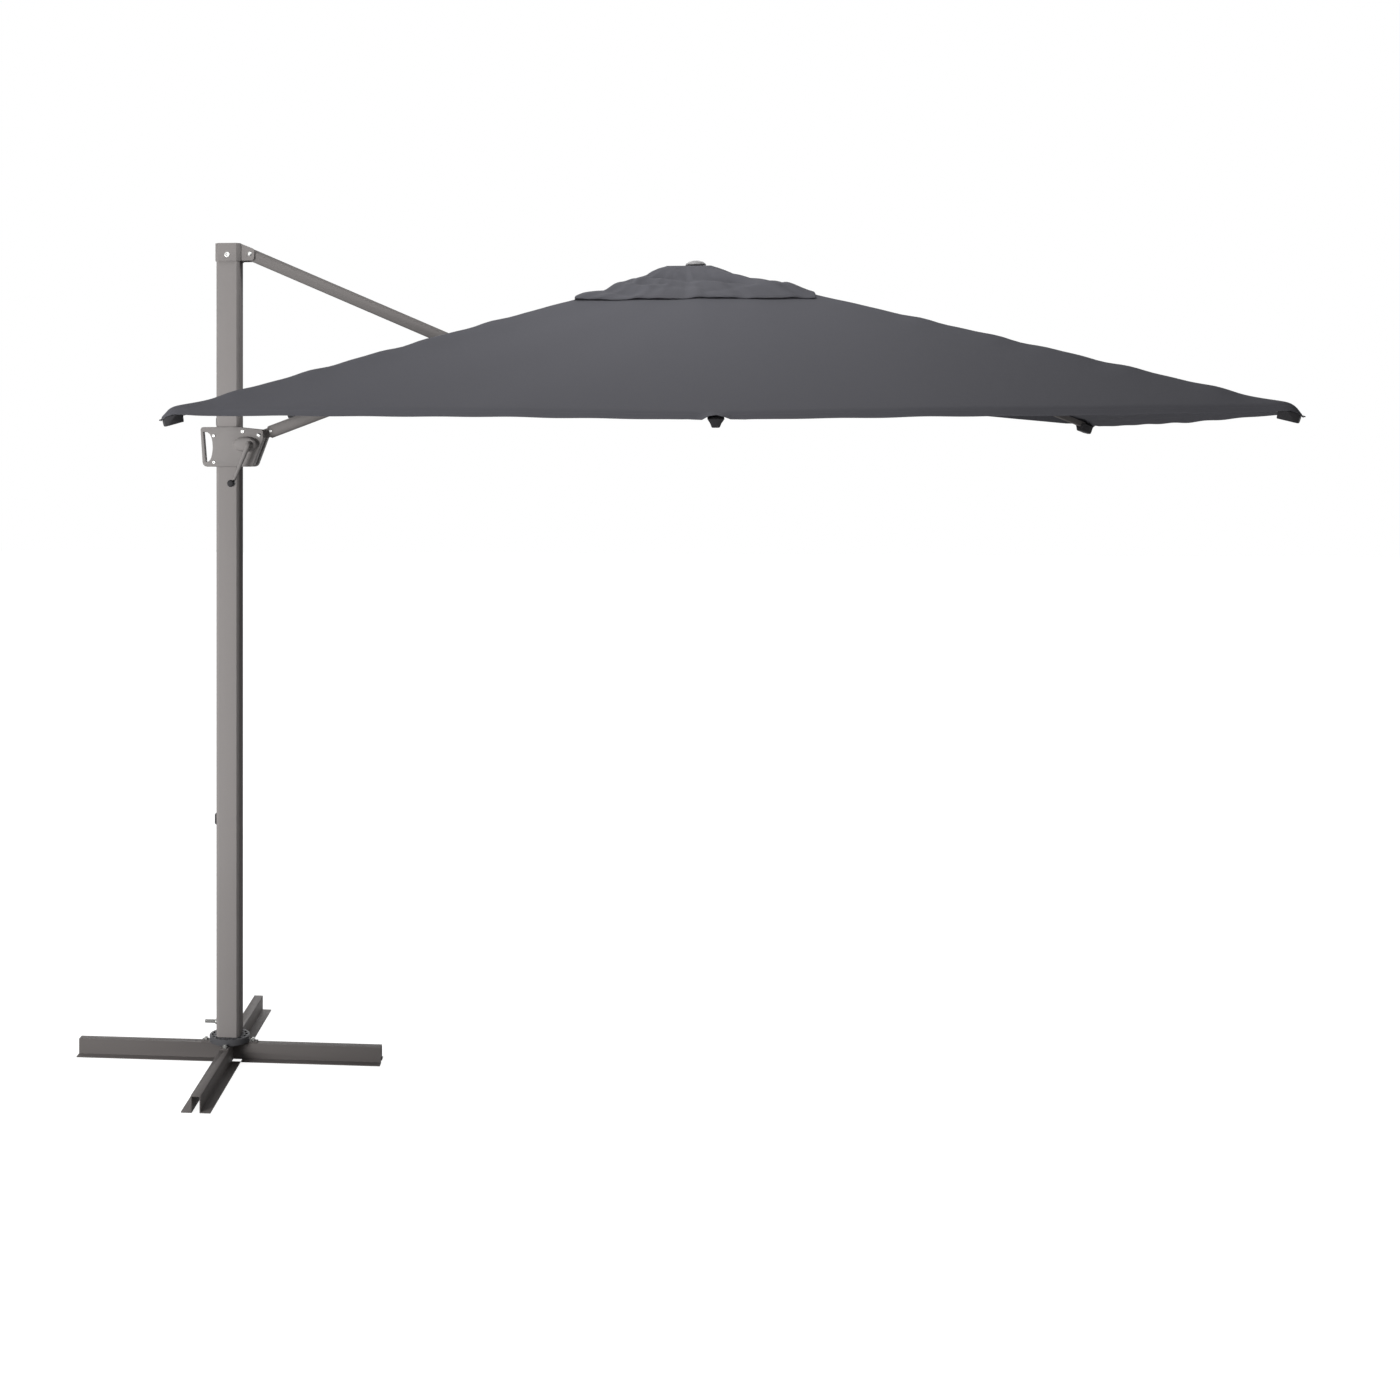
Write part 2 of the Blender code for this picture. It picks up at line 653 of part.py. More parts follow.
# Strut and arm with their end fittings
def end_fitting(name, tube_radius, reach, parent, place, outward):
    """A plug in a tube's end, with an eye at the pivot; outward is +1 where the tube runs to +x."""
    inner = tube_radius - TUBE_WALL - FIT
    start = place + outward * (reach - TUBE_WALL)
    inside = place + outward * (reach + PLUG_LENGTH)
    fitting = piece(name, rod(inner, min(start, inside), max(start, inside), "X"), TAUPE, parent)
    back = place - outward * EYE_RADIUS
    front = place + outward * (reach - FIT)
    tongue = rounded(
        [(back, -EYE_RADIUS), (front, -EYE_RADIUS), (front, EYE_RADIUS), (back, EYE_RADIUS)],
        [0.98 * EYE_RADIUS, 0, 0, 0.98 * EYE_RADIUS],
        4,
    )
    join(fitting, prism(tongue, -TONGUE_THICK / 2, TONGUE_THICK / 2, "Y"))
    cut(fitting, rod(PIN_RADIUS + FIT, -TONGUE_THICK, TONGUE_THICK, "Y", (place, 0), 12))
    return fitting


def make_strut(strut):
    tube = pipe(STRUT_RADIUS, TUBE_WALL, STRUT_TOP_REACH, STRUT_LENGTH - END_REACH)
    piece("strut_tube", tube, TAUPE, strut)
    end_fitting("strut_top_eye", STRUT_RADIUS, STRUT_TOP_REACH, strut, 0, 1)
    end_fitting("strut_lower_eye", STRUT_RADIUS, END_REACH, strut, STRUT_LENGTH, -1)


def make_arm(arm):
    collar = FORK_PLATE
    tube_end = ARM_LENGTH - END_REACH - collar - FIT
    piece("arm_tube", pipe(ARM_RADIUS, TUBE_WALL, END_REACH, tube_end), TAUPE, arm)
    end_fitting("arm_root_eye", ARM_RADIUS, END_REACH, arm, 0, 1)

    low, high = ELBOW_ALONG_ARM - ELBOW_LENGTH / 2, ELBOW_ALONG_ARM + ELBOW_LENGTH / 2
    saddle_radius = ARM_RADIUS + FIT + SADDLE_WALL
    saddle = piece("elbow_saddle", rod(saddle_radius, low, high, "X"), TAUPE, arm)
    ear = rounded(
        [
            (low, 0),
            (high, 0),
            (ELBOW_ALONG_ARM + EYE_RADIUS, ELBOW_LIFT + EYE_RADIUS),
            (ELBOW_ALONG_ARM - EYE_RADIUS, ELBOW_LIFT + EYE_RADIUS),
        ],
        [0, 0, 0.7 * EYE_RADIUS, 0.7 * EYE_RADIUS],
    )
    for side in (-1, 1):
        near, far = sorted((side * EAR_GAP / 2, side * (EAR_GAP / 2 + EAR_THICK)))
        join(saddle, prism(ear, near, far, "Y"))
    cut(saddle, rod(ARM_RADIUS + FIT, low - ELBOW_LENGTH, high + ELBOW_LENGTH, "X"))
    ear_reach = EAR_GAP / 2 + 2 * EAR_THICK
    cut(saddle, rod(PIN_RADIUS + FIT, -ear_reach, ear_reach, "Y", (ELBOW_ALONG_ARM, ELBOW_LIFT), 12))
    elbow_place = (ELBOW_ALONG_ARM, 0, ELBOW_LIFT)
    pin("elbow_pin", PIN_RADIUS, EAR_GAP + 2 * EAR_THICK, arm, elbow_place)

    inner = ARM_RADIUS - TUBE_WALL - FIT
    tip = piece("arm_tip_fork", rod(inner, tube_end - PLUG_LENGTH, tube_end + 2 * FIT, "X"), TAUPE, arm)
    join(tip, rod(ARM_RADIUS, tube_end + FIT, tube_end + FIT + collar, "X"))
    gap = HUB_TONGUE / 2 + FIT
    eye = 0.8 * EYE_RADIUS
    cheek = rounded(
        [
            (tube_end + collar / 2, -eye),
            (ARM_LENGTH + eye, -eye),
            (ARM_LENGTH + eye, eye),
            (tube_end + collar / 2, eye),
        ],
        [0, 0.98 * eye, 0.98 * eye, 0],
        4,
    )
    for side in (-1, 1):
        near, far = sorted((side * gap, side * (gap + FORK_PLATE)))
        join(tip, prism(cheek, near, far, "Y"))
    cheek_reach = gap + 2 * FORK_PLATE
    cut(tip, rod(PIN_RADIUS + FIT, -cheek_reach, cheek_reach, "Y", (ARM_LENGTH, 0), 12))
    pin("tip_pin", PIN_RADIUS, 2 * (gap + FORK_PLATE), arm, (ARM_LENGTH, 0, 0))


# Carriage, in a frame at the arm's pivot
def make_carriage(carriage):
    left, right = CARRIAGE_LEFT - ARM_PIVOT_X, CARRIAGE_RIGHT - ARM_PIVOT_X
    top, bottom = CARRIAGE_TOP, -CARRIAGE_BOTTOM
    mast_x = -ARM_PIVOT_X
    knee_x = mast_x + 0.71 * CARRIAGE_RIGHT
    outline = rounded(
        [
            (left, top),
            (mast_x + MAST_HALF, top),
            (right - 0.1 * EYE_RADIUS, top - 0.6 * EYE_RADIUS),
            (right, -0.6 * EYE_RADIUS),
            (knee_x, bottom),
            (left + HANDLE_SLANT, bottom),
        ],
        [HANDLE_GRIP, 0, 0.5 * EYE_RADIUS, 0.8 * EYE_RADIUS, EYE_RADIUS, 1.7 * HANDLE_GRIP],
    )
    bore = MAST_HALF + CARRIAGE_CLEARANCE
    hole = finger_hole(left, (top + bottom) / 2)
    crank = (CRANK_X - ARM_PIVOT_X, CRANK_Z - ARM_PIVOT_Z)
    slot_half = TONGUE_THICK / 2 + FIT
    past = 2 * CARRIAGE_HALF_DEPTH
    for name, side in (("carriage_front", -1), ("carriage_back", 1)):
        near, far = sorted((side * FIT / 2, side * CARRIAGE_HALF_DEPTH))
        shell = piece(name, prism(outline, near, far, "Y"), GREY_PLASTIC, carriage)
        soften(shell, side * CARRIAGE_HALF_DEPTH, 0.25 * HANDLE_GRIP)
        cut(shell, block((mast_x - bore, -bore, 2 * bottom), (mast_x + bore, bore, 2 * top - bottom)))
        slot_low = (SLOT_START + mast_x, -slot_half, 2 * bottom)
        cut(shell, block(slot_low, (2 * right + past, slot_half, -bottom)))
        behind = HANDLE_DEPTH - CARRIAGE_HALF_DEPTH
        cut(shell, block((2 * left, behind, 2 * bottom), (mast_x - SLOT_START, past, -bottom)))
        cut(shell, rod(PIN_RADIUS + FIT, -past, past, "Y", (0, 0), 12))
        if side < 0:
            cut(shell, prism(hole, -past, past, "Y"))
            join(shell, gearbox_nose(crank))
            cut(shell, rod(SHAFT_RADIUS + FIT, -past, 0, "Y", crank, 14))
        else:
            cut(shell, rod(SHAFT_RADIUS + FIT, 0, slot_half + SHAFT_RADIUS, "Y", crank, 14))
    pin("arm_pin", PIN_RADIUS, 2 * CARRIAGE_HALF_DEPTH, carriage, (0, 0, 0))


def finger_hole(left, middle):
    """A D with its straight side along the slanted grip."""
    half = HANDLE_HOLE_HEIGHT / 2
    points = []
    for step in range(13):
        angle = math.pi * (0.5 - step / 12)
        bow = max(math.cos(angle), 0) ** 0.6
        grip = left + HANDLE_GRIP + HANDLE_SLANT * step / 12
        reach = -SLOT_START - ARM_PIVOT_X - grip
        points.append((grip + reach * bow, middle + half * math.sin(angle)))
    return points


def gearbox_nose(crank):
    """The bulge that houses the winding gear, steep at the crank and drawn out to the left."""
    count = 24
    levels = 5
    bm = bmesh.new()
    rings = []
    for level in range(levels + 1):
        rise = math.sin(0.5 * math.pi * level / levels)
        taper = 1 - math.cos(0.5 * math.pi * level / levels)
        centre = crank[0] - GEARBOX_SHIFT * (1 - taper)
        half_width = GEARBOX_HALF_WIDTH + taper * (GEARBOX_BOSS - GEARBOX_HALF_WIDTH)
        half_height = GEARBOX_HALF_HEIGHT + taper * (GEARBOX_BOSS - GEARBOX_HALF_HEIGHT)
        y = FIT - CARRIAGE_HALF_DEPTH - rise * (GEARBOX_DEPTH + FIT)
        ring = []
        for step in range(count):
            angle = 2 * math.pi * step / count
            place = (centre + half_width * math.cos(angle), y, crank[1] + half_height * math.sin(angle))
            ring.append(bm.verts.new(place))
        rings.append(ring)
    for low, high in zip(rings, rings[1:]):
        for step in range(count):
            after = (step + 1) % count
            bm.faces.new((low[step], low[after], high[after], high[step]))
    bm.faces.new(rings[0])
    bm.faces.new(rings[-1])
    bmesh.ops.recalc_face_normals(bm, faces=bm.faces)
    mesh = bpy.data.meshes.new("gearbox_nose")
    bm.to_mesh(mesh)
    bm.free()
    return mesh


# Crank and its knob, in frames on their axes
def make_crank(crank):
    boss = CRANK_ARM_THICK
    length = CRANK_LENGTH
    arm = rounded(
        [
            (-CRANK_BOSS_RADIUS, CRANK_BOSS_RADIUS),
            (CRANK_BOSS_RADIUS, CRANK_BOSS_RADIUS),
            (0.6 * CRANK_BOSS_RADIUS, -length - 0.6 * CRANK_BOSS_RADIUS),
            (-0.6 * CRANK_BOSS_RADIUS, -length - 0.6 * CRANK_BOSS_RADIUS),
        ],
        [0.9 * CRANK_BOSS_RADIUS] * 2 + [0.5 * CRANK_BOSS_RADIUS] * 2,
        4,
    )
    lean = math.radians(CRANK_LEAN)
    arm = [(x * math.cos(lean) + z * math.sin(lean), z * math.cos(lean) - x * math.sin(lean)) for x, z in arm]
    handle = piece("crank_arm", prism(arm, -2 * boss, -boss, "Y"), GREY_PLASTIC, crank)
    join(handle, rod(CRANK_BOSS_RADIUS, -1.5 * boss, -FIT, "Y"))
    cut(handle, rod(SHAFT_RADIUS + FIT, -1.3 * boss, boss, "Y", count=14))
    end_x, end_z = -length * math.sin(lean), -length * math.cos(lean)
    cut(handle, rod(KNOB_STUD + FIT, -3 * boss, 0, "Y", (end_x, end_z), 12))

    deep = GEARBOX_DEPTH + CARRIAGE_HALF_DEPTH
    drum_half = TONGUE_THICK / 2 - FIT
    shaft_end = deep + drum_half + SHAFT_RADIUS
    shaft = piece("drum_shaft", rod(SHAFT_RADIUS, -1.3 * boss + FIT, shaft_end, "Y"), SILVER, crank)
    join(shaft, rod(DRUM_RADIUS, deep - drum_half, deep + drum_half, "Y"))


def crank_knob_place():
    lean = math.radians(CRANK_LEAN)
    along = Vector((-math.sin(lean), 0, -math.cos(lean)))
    return CRANK_PLACE + CRANK_LENGTH * along - Vector((0, 2 * CRANK_ARM_THICK, 0))


def make_knob(knob):
    """A dark grip that spins on a stud through the crank's end, along -y."""
    stud = KNOB_STUD
    through = CRANK_ARM_THICK + FIT
    profile = [
        (0, KNOB_LENGTH),
        (0.7 * KNOB_RADIUS, KNOB_LENGTH),
        (KNOB_RADIUS, 0.8 * KNOB_LENGTH),
        (0.85 * KNOB_RADIUS, 0.3 * KNOB_LENGTH),
        (0.9 * KNOB_RADIUS, FIT),
        (stud, FIT),
        (stud, -through),
        (1.5 * stud, -through),
        (1.5 * stud, -through - 0.3 * stud),
        (0, -through - 0.3 * stud),
    ]
    turned("crank_knob", profile, DARK, knob, turn=(math.pi / 2, 0, 0))


# Hub, in a frame at the arm's tip
def slot_box(heading, core, radius, width, height, centre):
    """A radial slot from a core out past a rim."""
    mesh = block((core, -width / 2, -height), (2 * radius, width / 2, height))
    mesh.transform(Matrix.Translation(centre) @ Matrix.Rotation(heading, 4, "Z"))
    return mesh


def make_hub(hub):
    axis = Vector((HUB_REACH, 0, CROWN_RISE))
    half = CROWN_HEIGHT / 2
    crown_mesh = rod(CROWN_RADIUS, CROWN_RISE - half, CROWN_RISE + half, count=24)
    crown_mesh.transform(Matrix.Translation((HUB_REACH, 0, 0)))
    crown = piece("crown", crown_mesh, DARK, hub)
    for rib in RIB_LIST:
        cut(crown, slot_box(rib.heading, CROWN_CORE, CROWN_RADIUS, RIB_WIDTH + 2 * FIT, CROWN_HEIGHT, axis))
    eye = 0.8 * EYE_RADIUS
    inner_x = HUB_REACH - 0.5 * CROWN_CORE
    tongue = rounded(
        [
            (-eye, -eye),
            (eye, -eye),
            (inner_x, CROWN_RISE - 0.8 * half),
            (inner_x, CROWN_RISE + 0.8 * half),
            (HUB_REACH - CROWN_RADIUS, CROWN_RISE + 0.8 * half),
            (-eye, eye),
        ],
        [0.9 * eye, 0, 0, 0, 0, 0.9 * eye],
    )
    join(crown, prism(tongue, -HUB_TONGUE / 2, HUB_TONGUE / 2, "Y"))
    cut(crown, rod(PIN_RADIUS + FIT, -HUB_TONGUE, HUB_TONGUE, "Y", (0, 0), 12))

    seat = CROWN_RISE + half + FIT
    under_dome = vent_plateau() - ARM_TIP.z + FIT
    dome = [(FINIAL_RADIUS * math.cos(a), FINIAL_DOME * math.sin(a)) for a in (1.2, 0.8, 0.4, 0.1)]
    profile = [(0, under_dome + FINIAL_DOME)]
    profile += [(r, under_dome + z) for r, z in dome]
    profile += [(FINIAL_RADIUS, under_dome), (FINIAL_STEM, under_dome), (FINIAL_STEM, seat), (0, seat)]
    turned("finial", profile, PALE, hub, (HUB_REACH, 0, 0), steps=20)


def make_runner(runner):
    half = RUNNER_HEIGHT / 2
    rim = RUNNER_PIVOT_RADIUS + RUNNER_MARGIN
    disc = piece("runner", rod(rim, -half, half, count=24), DARK, runner)
    width = STRETCHER_WIDTH + 2 * FIT
    for rib in RIB_LIST:
        cut(disc, slot_box(rib.heading, RUNNER_CORE, rim, width, RUNNER_HEIGHT, (0, 0, 0)))


# Ribs with end caps, and stretchers, in frames on their pivots
def rectangle(half_width, half_height):
    return [
        (half_width, half_height),
        (-half_width, half_height),
        (-half_width, -half_height),
        (half_width, -half_height),
    ]


def hem_angle(rib, side):
    """The angle between a rib and the hem on one side of its tip, in plan."""
    place = RIB_LIST.index(rib)
    start = 0.03
    if side > 0:
        hem = cloth_point(rib, RIB_LIST[(place + 1) % len(RIB_LIST)], start, 1, HEM_DRAW[rib.name])
    else:
        before = RIB_LIST[place - 1]
        hem = cloth_point(before, rib, 1 - start, 1, HEM_DRAW[before.name])
    tip = Vector((HUB_X, 0, 0)) + rib.reach * rib.outward
    along = (hem - tip).xy.normalized()
    return math.acos(max(-1, min(1, -along.dot(rib.outward.xy))))


def make_rib(rib):
    holder = frame("pivot_" + rib.name, rib.pivot, rib.tilt, rib.heading)
    half_width, half_height = RIB_WIDTH / 2, RIB_HEIGHT / 2
    box = rectangle(half_width, half_height)
    bore = rectangle(half_width - RIB_WALL, half_height - RIB_WALL)
    end = rib.length - RIB_END_INSET
    section = rounded(box, 0.25 * half_width, 1)
    tube = piece("rib_" + rib.name, prism(section, -RIB_ROOT, end, "X", [bore]), TAUPE, holder)
    place = rib.stretcher_place(CLOSED_RUNNER_Z)
    reach = 0.5 * STRETCHER_HEIGHT
    tab = rounded(
        [
            (place - 2 * reach, -half_height + RIB_WALL / 2),
            (place - reach, -BRACKET_DROP - reach),
            (place + reach, -BRACKET_DROP - reach),
            (place + 2 * reach, -half_height + RIB_WALL / 2),
        ],
        [0, 0.6 * reach, 0.6 * reach, 0],
    )
    join(tube, prism(tab, -BRACKET_THICK / 2, BRACKET_THICK / 2, "Y"))

    cap_end = rib.length - END_CAP_INSET
    cap_start = cap_end - END_CAP_LENGTH
    section = rounded(
        [
            (END_CAP_TOP / 2, 0),
            (-END_CAP_TOP / 2, 0),
            (-END_CAP_WAIST / 2, -END_CAP_DEPTH / 2),
            (-END_CAP_FOOT / 2, -END_CAP_DEPTH),
            (END_CAP_FOOT / 2, -END_CAP_DEPTH),
            (END_CAP_WAIST / 2, -END_CAP_DEPTH / 2),
        ],
        [0, 0, 0, 0.2 * END_CAP_FOOT, 0.2 * END_CAP_FOOT, 0],
    )
    cap = piece("end_cap_" + rib.name, prism(section, cap_start, cap_end, "X"), DARK, holder)
    socket_low = (cap_start - END_CAP_LENGTH, -half_width - FIT, -half_height - FIT)
    cut(cap, block(socket_low, (end + FIT, half_width + FIT, half_height)))
    far = 4 * END_CAP_LENGTH
    for side in (-1, 1):
        low, high = sorted((-side * END_CAP_MARGIN, side * far))
        beyond_hem = block((-far, low, -far), (far, high, far))
        turn = Matrix.Rotation(-side * hem_angle(rib, side), 4, "Z")
        beyond_hem.transform(Matrix.Translation((rib.length, 0, 0)) @ turn)
        cut(cap, beyond_hem)
    return place


def make_stretcher(rib, place):
    radius, height = rib.bracket(place, rib.tilt)
    top = Vector((HUB_X, 0, height)) + radius * rib.outward
    rise = math.atan2(height - RUNNER_CENTRE.z, radius - RUNNER_PIVOT_RADIUS)
    holder = frame("stretcher_pivot_" + rib.name, top, -rise, rib.heading)
    length = rib.stretcher_length(place)
    half_width, half_height = STRETCHER_WIDTH / 2, STRETCHER_HEIGHT / 2
    side = rounded(
        [(-length - half_height, -half_height), (half_height, -half_height), (half_height, half_height),
         (-length - half_height, half_height)],
        0.6 * half_height,
        2,
    )
    bar = piece("stretcher_" + rib.name, prism(side, -half_width, half_width, "Y"), TAUPE, holder)
    fork = BRACKET_THICK / 2 + FIT
    depth = 3 * STRETCHER_HEIGHT
    cut(bar, block((-depth, -fork, -STRETCHER_HEIGHT), (STRETCHER_HEIGHT, fork, STRETCHER_HEIGHT)))


# Canopy cloth: one petal a rib, from the middle of one panel to the middle of the next, and the vent
def cloth_point(first, second, across, share, draw):
    """A point of the panel between two ribs: across from 0 to 1, share of the way from the hub to the hem."""
    arch = 4 * across * (1 - across)
    reach = share * (1 - draw * arch * share ** 3)
    plan = ((1 - across) * first.plan + across * second.plan) * reach
    height = (1 - across) * first.surface(reach) + across * second.surface(reach)
    height -= CLOTH_SAG * arch * math.sin(math.pi * share)
    return Vector((HUB_X + plan.x, plan.y, height))


def vent_plateau():
    return HUB_CENTRE.z + VENT_RISE


def seam_side(first, second, share):
    """How far across a panel its half runs: to the seam, or to the slit for the strut and mast."""
    half = SEAM_GAP
    if first.name == "far_left" and HUB_X - share * CANOPY_LENGTH / 2 < STRUT_SLIT_END:
        half = STRUT_SLIT_HALF
    span = (first.plan - second.plan).length
    return 0.5 - half / (span * share)


def make_petal(index, holder_name):
    rib = RIB_LIST[index]
    before, after = RIB_LIST[index - 1], RIB_LIST[(index + 1) % len(RIB_LIST)]
    slit_share = (HUB_X - STRUT_SLIT_END) / (CANOPY_LENGTH / 2)
    edge = 0.004
    shares = [OPENING_SHARE, 0.3, slit_share - edge, slit_share + edge, 0.6, 0.8, 1.0]
    steps = (1.0, 0.5)
    rows = []
    for share in shares:
        low_side, high_side = seam_side(before, rib, share), seam_side(rib, after, share)
        row = [cloth_point(before, rib, 1 - low_side * k, share, HEM_DRAW[before.name]) for k in steps]
        row.append(cloth_point(rib, after, 0, share, 0))
        row += [cloth_point(rib, after, high_side * k, share, HEM_DRAW[rib.name]) for k in reversed(steps)]
        rows.append(row)
    mesh = sheet("petal", rows, closed=False)
    mesh.transform(FRAMES[holder_name].inverted())
    petal = piece("petal_" + rib.name, mesh, CLOTH_GREY, bpy.data.objects[holder_name])
    thicken(petal)


def make_vent(hub):
    rows = []
    hole = 1.2 * FINIAL_STEM + FIT
    hem_rise = VENT_LAP + CLOTH
    for share, level in ((VENT_SHARE, 0.0), ((VENT_SHARE + PLATEAU_SHARE) / 2, 0.5), (PLATEAU_SHARE, 1.0)):
        row = []
        for index, rib in enumerate(RIB_LIST):
            after = RIB_LIST[(index + 1) % len(RIB_LIST)]
            for across in (0, 0.5):
                point = cloth_point(rib, after, across, share, 0)
                hem = cloth_point(rib, after, across, VENT_SHARE, 0).z + hem_rise
                point.z = hem + level * (vent_plateau() - hem)
                row.append(point)
        rows.append(row)
    centre = Vector((HUB_X, 0, 0))
    rows.append([centre + hole * Vector((p.x - HUB_X, p.y, 0)).normalized() for p in rows[-1]])
    for point in rows[-1]:
        point.z = vent_plateau()
    mesh = sheet("vent", rows, closed=True)
    mesh.transform(FRAMES["hub_pivot"].inverted())
    thicken(piece("vent_cloth", mesh, CLOTH_GREY, hub))


def sheet(name, rows, closed):
    """A grid of quads through rows of points."""
    bm = bmesh.new()
    grid = [[bm.verts.new(point) for point in row] for row in rows]
    count = len(grid[0])
    for upper, lower in zip(grid, grid[1:]):
        for k in range(count if closed else count - 1):
            after = (k + 1) % count
            bm.faces.new((upper[k], upper[after], lower[after], lower[k]))
    bmesh.ops.recalc_face_normals(bm, faces=bm.faces)
    if sum(face.normal.z for face in bm.faces) < 0:
        bmesh.ops.reverse_faces(bm, faces=bm.faces)
    mesh = bpy.data.meshes.new(name)
    bm.to_mesh(mesh)
    bm.free()
    return mesh


def thicken(obj):
    solid = obj.modifiers.new("cloth", "SOLIDIFY")
    solid.thickness = CLOTH
    solid.offset = -1


make_base(frame("base_frame", (0, 0, 0)))
make_mast(frame("mast_swivel", (0, 0, 0)))
make_lock_bolt(frame("lock_bolt_axis", LOCK_PLACE))
make_strut(frame("strut_pivot", STRUT_PIVOT, math.radians(STRUT_TILT)))
make_arm(frame("arm_pivot", ARM_PIVOT, -math.radians(ARM_TILT)))
make_carriage(frame("carriage_pivot", ARM_PIVOT))
make_crank(frame("crank_axis", CRANK_PLACE))
make_knob(frame("knob_axis", crank_knob_place()))
hub_frame = frame("hub_pivot", ARM_TIP)
make_hub(hub_frame)
make_runner(frame("runner_axis", RUNNER_CENTRE))
for number, one_rib in enumerate(RIB_LIST):
    rib_place = make_rib(one_rib)
    make_stretcher(one_rib, rib_place)
    make_petal(number, "pivot_" + one_rib.name)
make_vent(hub_frame)
bpy.context.view_layer.update()
print(f"origin {ORIGIN_X:.4f} m from the mast, elbow {ELBOW.x:.3f}, {ELBOW.z:.3f}")
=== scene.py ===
# %% [markdown]
# # Cantilever parasol
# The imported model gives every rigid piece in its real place, so this lesson dresses it. It sets the
# photograph's camera, paints each material with nodes, softens the edges of the solids, sews the canopy from
# fine sheets and adds the small pieces that the solids leave out. Lengths are in metres.

# %% Load the frame
import json
import math

import bpy
import numpy as np
from mathutils import Matrix, Vector

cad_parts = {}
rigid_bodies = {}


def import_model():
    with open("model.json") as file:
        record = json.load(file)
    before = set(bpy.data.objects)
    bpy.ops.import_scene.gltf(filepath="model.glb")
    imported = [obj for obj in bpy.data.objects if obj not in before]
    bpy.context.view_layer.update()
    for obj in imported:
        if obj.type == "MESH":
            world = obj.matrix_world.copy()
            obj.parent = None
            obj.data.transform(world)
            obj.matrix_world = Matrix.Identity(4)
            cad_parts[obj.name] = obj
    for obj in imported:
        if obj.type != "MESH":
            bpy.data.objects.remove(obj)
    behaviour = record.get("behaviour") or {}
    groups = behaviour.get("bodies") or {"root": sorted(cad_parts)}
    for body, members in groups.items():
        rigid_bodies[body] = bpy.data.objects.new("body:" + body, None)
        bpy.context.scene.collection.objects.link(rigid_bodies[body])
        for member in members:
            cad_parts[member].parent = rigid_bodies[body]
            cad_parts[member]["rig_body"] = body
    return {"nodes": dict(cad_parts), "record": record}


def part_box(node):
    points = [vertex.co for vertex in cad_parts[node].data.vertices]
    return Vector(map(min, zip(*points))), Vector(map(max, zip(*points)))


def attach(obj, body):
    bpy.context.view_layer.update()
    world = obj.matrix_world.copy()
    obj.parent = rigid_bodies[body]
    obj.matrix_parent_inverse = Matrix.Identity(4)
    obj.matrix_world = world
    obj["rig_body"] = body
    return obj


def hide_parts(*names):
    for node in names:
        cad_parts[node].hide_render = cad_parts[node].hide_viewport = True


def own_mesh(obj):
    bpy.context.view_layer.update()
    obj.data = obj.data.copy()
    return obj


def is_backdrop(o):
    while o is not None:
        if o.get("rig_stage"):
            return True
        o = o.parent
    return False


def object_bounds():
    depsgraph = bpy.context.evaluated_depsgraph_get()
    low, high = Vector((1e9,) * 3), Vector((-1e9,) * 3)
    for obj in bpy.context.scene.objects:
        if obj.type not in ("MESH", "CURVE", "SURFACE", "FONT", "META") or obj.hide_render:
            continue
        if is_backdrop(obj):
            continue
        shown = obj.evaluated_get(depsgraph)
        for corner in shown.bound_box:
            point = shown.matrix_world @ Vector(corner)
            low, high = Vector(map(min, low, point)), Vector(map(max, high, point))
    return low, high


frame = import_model()
cad_box = [list(corner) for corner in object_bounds()]
nodes = frame["nodes"]
record = frame["record"]
joints = {joint["name"]: joint for joint in record["behaviour"]["joints"]}
slot_of = {part["node"]: part["material_slot"] for part in record["subparts"]}
MAST_X = joints["mast_swivel"]["pos_m"][0]
finial_low, finial_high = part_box("finial")
HUB = Vector(((finial_low[0] + finial_high[0]) / 2, 0, joints["canopy_close"]["pos_m"][2]))
print(f"{len(nodes)} nodes, mast at x {MAST_X:.3f}, hub at x {HUB.x:.3f}, {HUB.z:.3f} m up")

# %% [markdown]
# ## Camera
# The photograph was taken from some six metres away with a level camera, and then cropped, so its frame is
# centred further to the right and lower than the lens points. A tilted camera would make the mast lean, and a
# shifted lens gives the same view and keeps it upright.

# %% Camera
LEFT_TURN = 0.0885


def linked(name, data):
    """A new object that is in the scene."""
    obj = bpy.data.objects.new(name, data)
    bpy.context.scene.collection.objects.link(obj)
    return obj


camera_data = bpy.data.cameras.new("photo_camera")
camera_data.sensor_width = 36.0
camera_data.lens = 45.97
camera_data.shift_x = 0.1857
camera_data.shift_y = -0.1747
camera = linked("photo_camera", camera_data)
camera.location = (MAST_X + 1.2025, -5.7676, 1.9697)
camera.rotation_euler = (math.radians(90), 0, LEFT_TURN)
bpy.context.scene.camera = camera
print("camera stands at", [round(value, 3) for value in camera.location])

# %% [markdown]
# ## Shader maths
# A material is a sum of small patterns. They could be wired node by node, but a sum is easier to read as an
# expression. So a wrapper holds a socket and adds a Math node for each operator, and one method makes any
# other node.

# %% Socket wrapper
class Signal:
    """A value on a socket; an operator adds a Math node to its tree."""

    def __init__(self, tree, socket):
        self.tree = tree
        self.socket = socket

    def __add__(self, other):
        return self.tree.math("ADD", self, other)

    __radd__ = __add__

    def __sub__(self, other):
        return self.tree.math("SUBTRACT", self, other)

    def __rsub__(self, other):
        return self.tree.math("SUBTRACT", other, self)

    def __mul__(self, other):
        return self.tree.math("MULTIPLY", self, other)

    __rmul__ = __mul__

    def __lt__(self, other):
        return self.tree.math("LESS_THAN", self, other)

    def __gt__(self, other):
        return self.tree.math("GREATER_THAN", self, other)


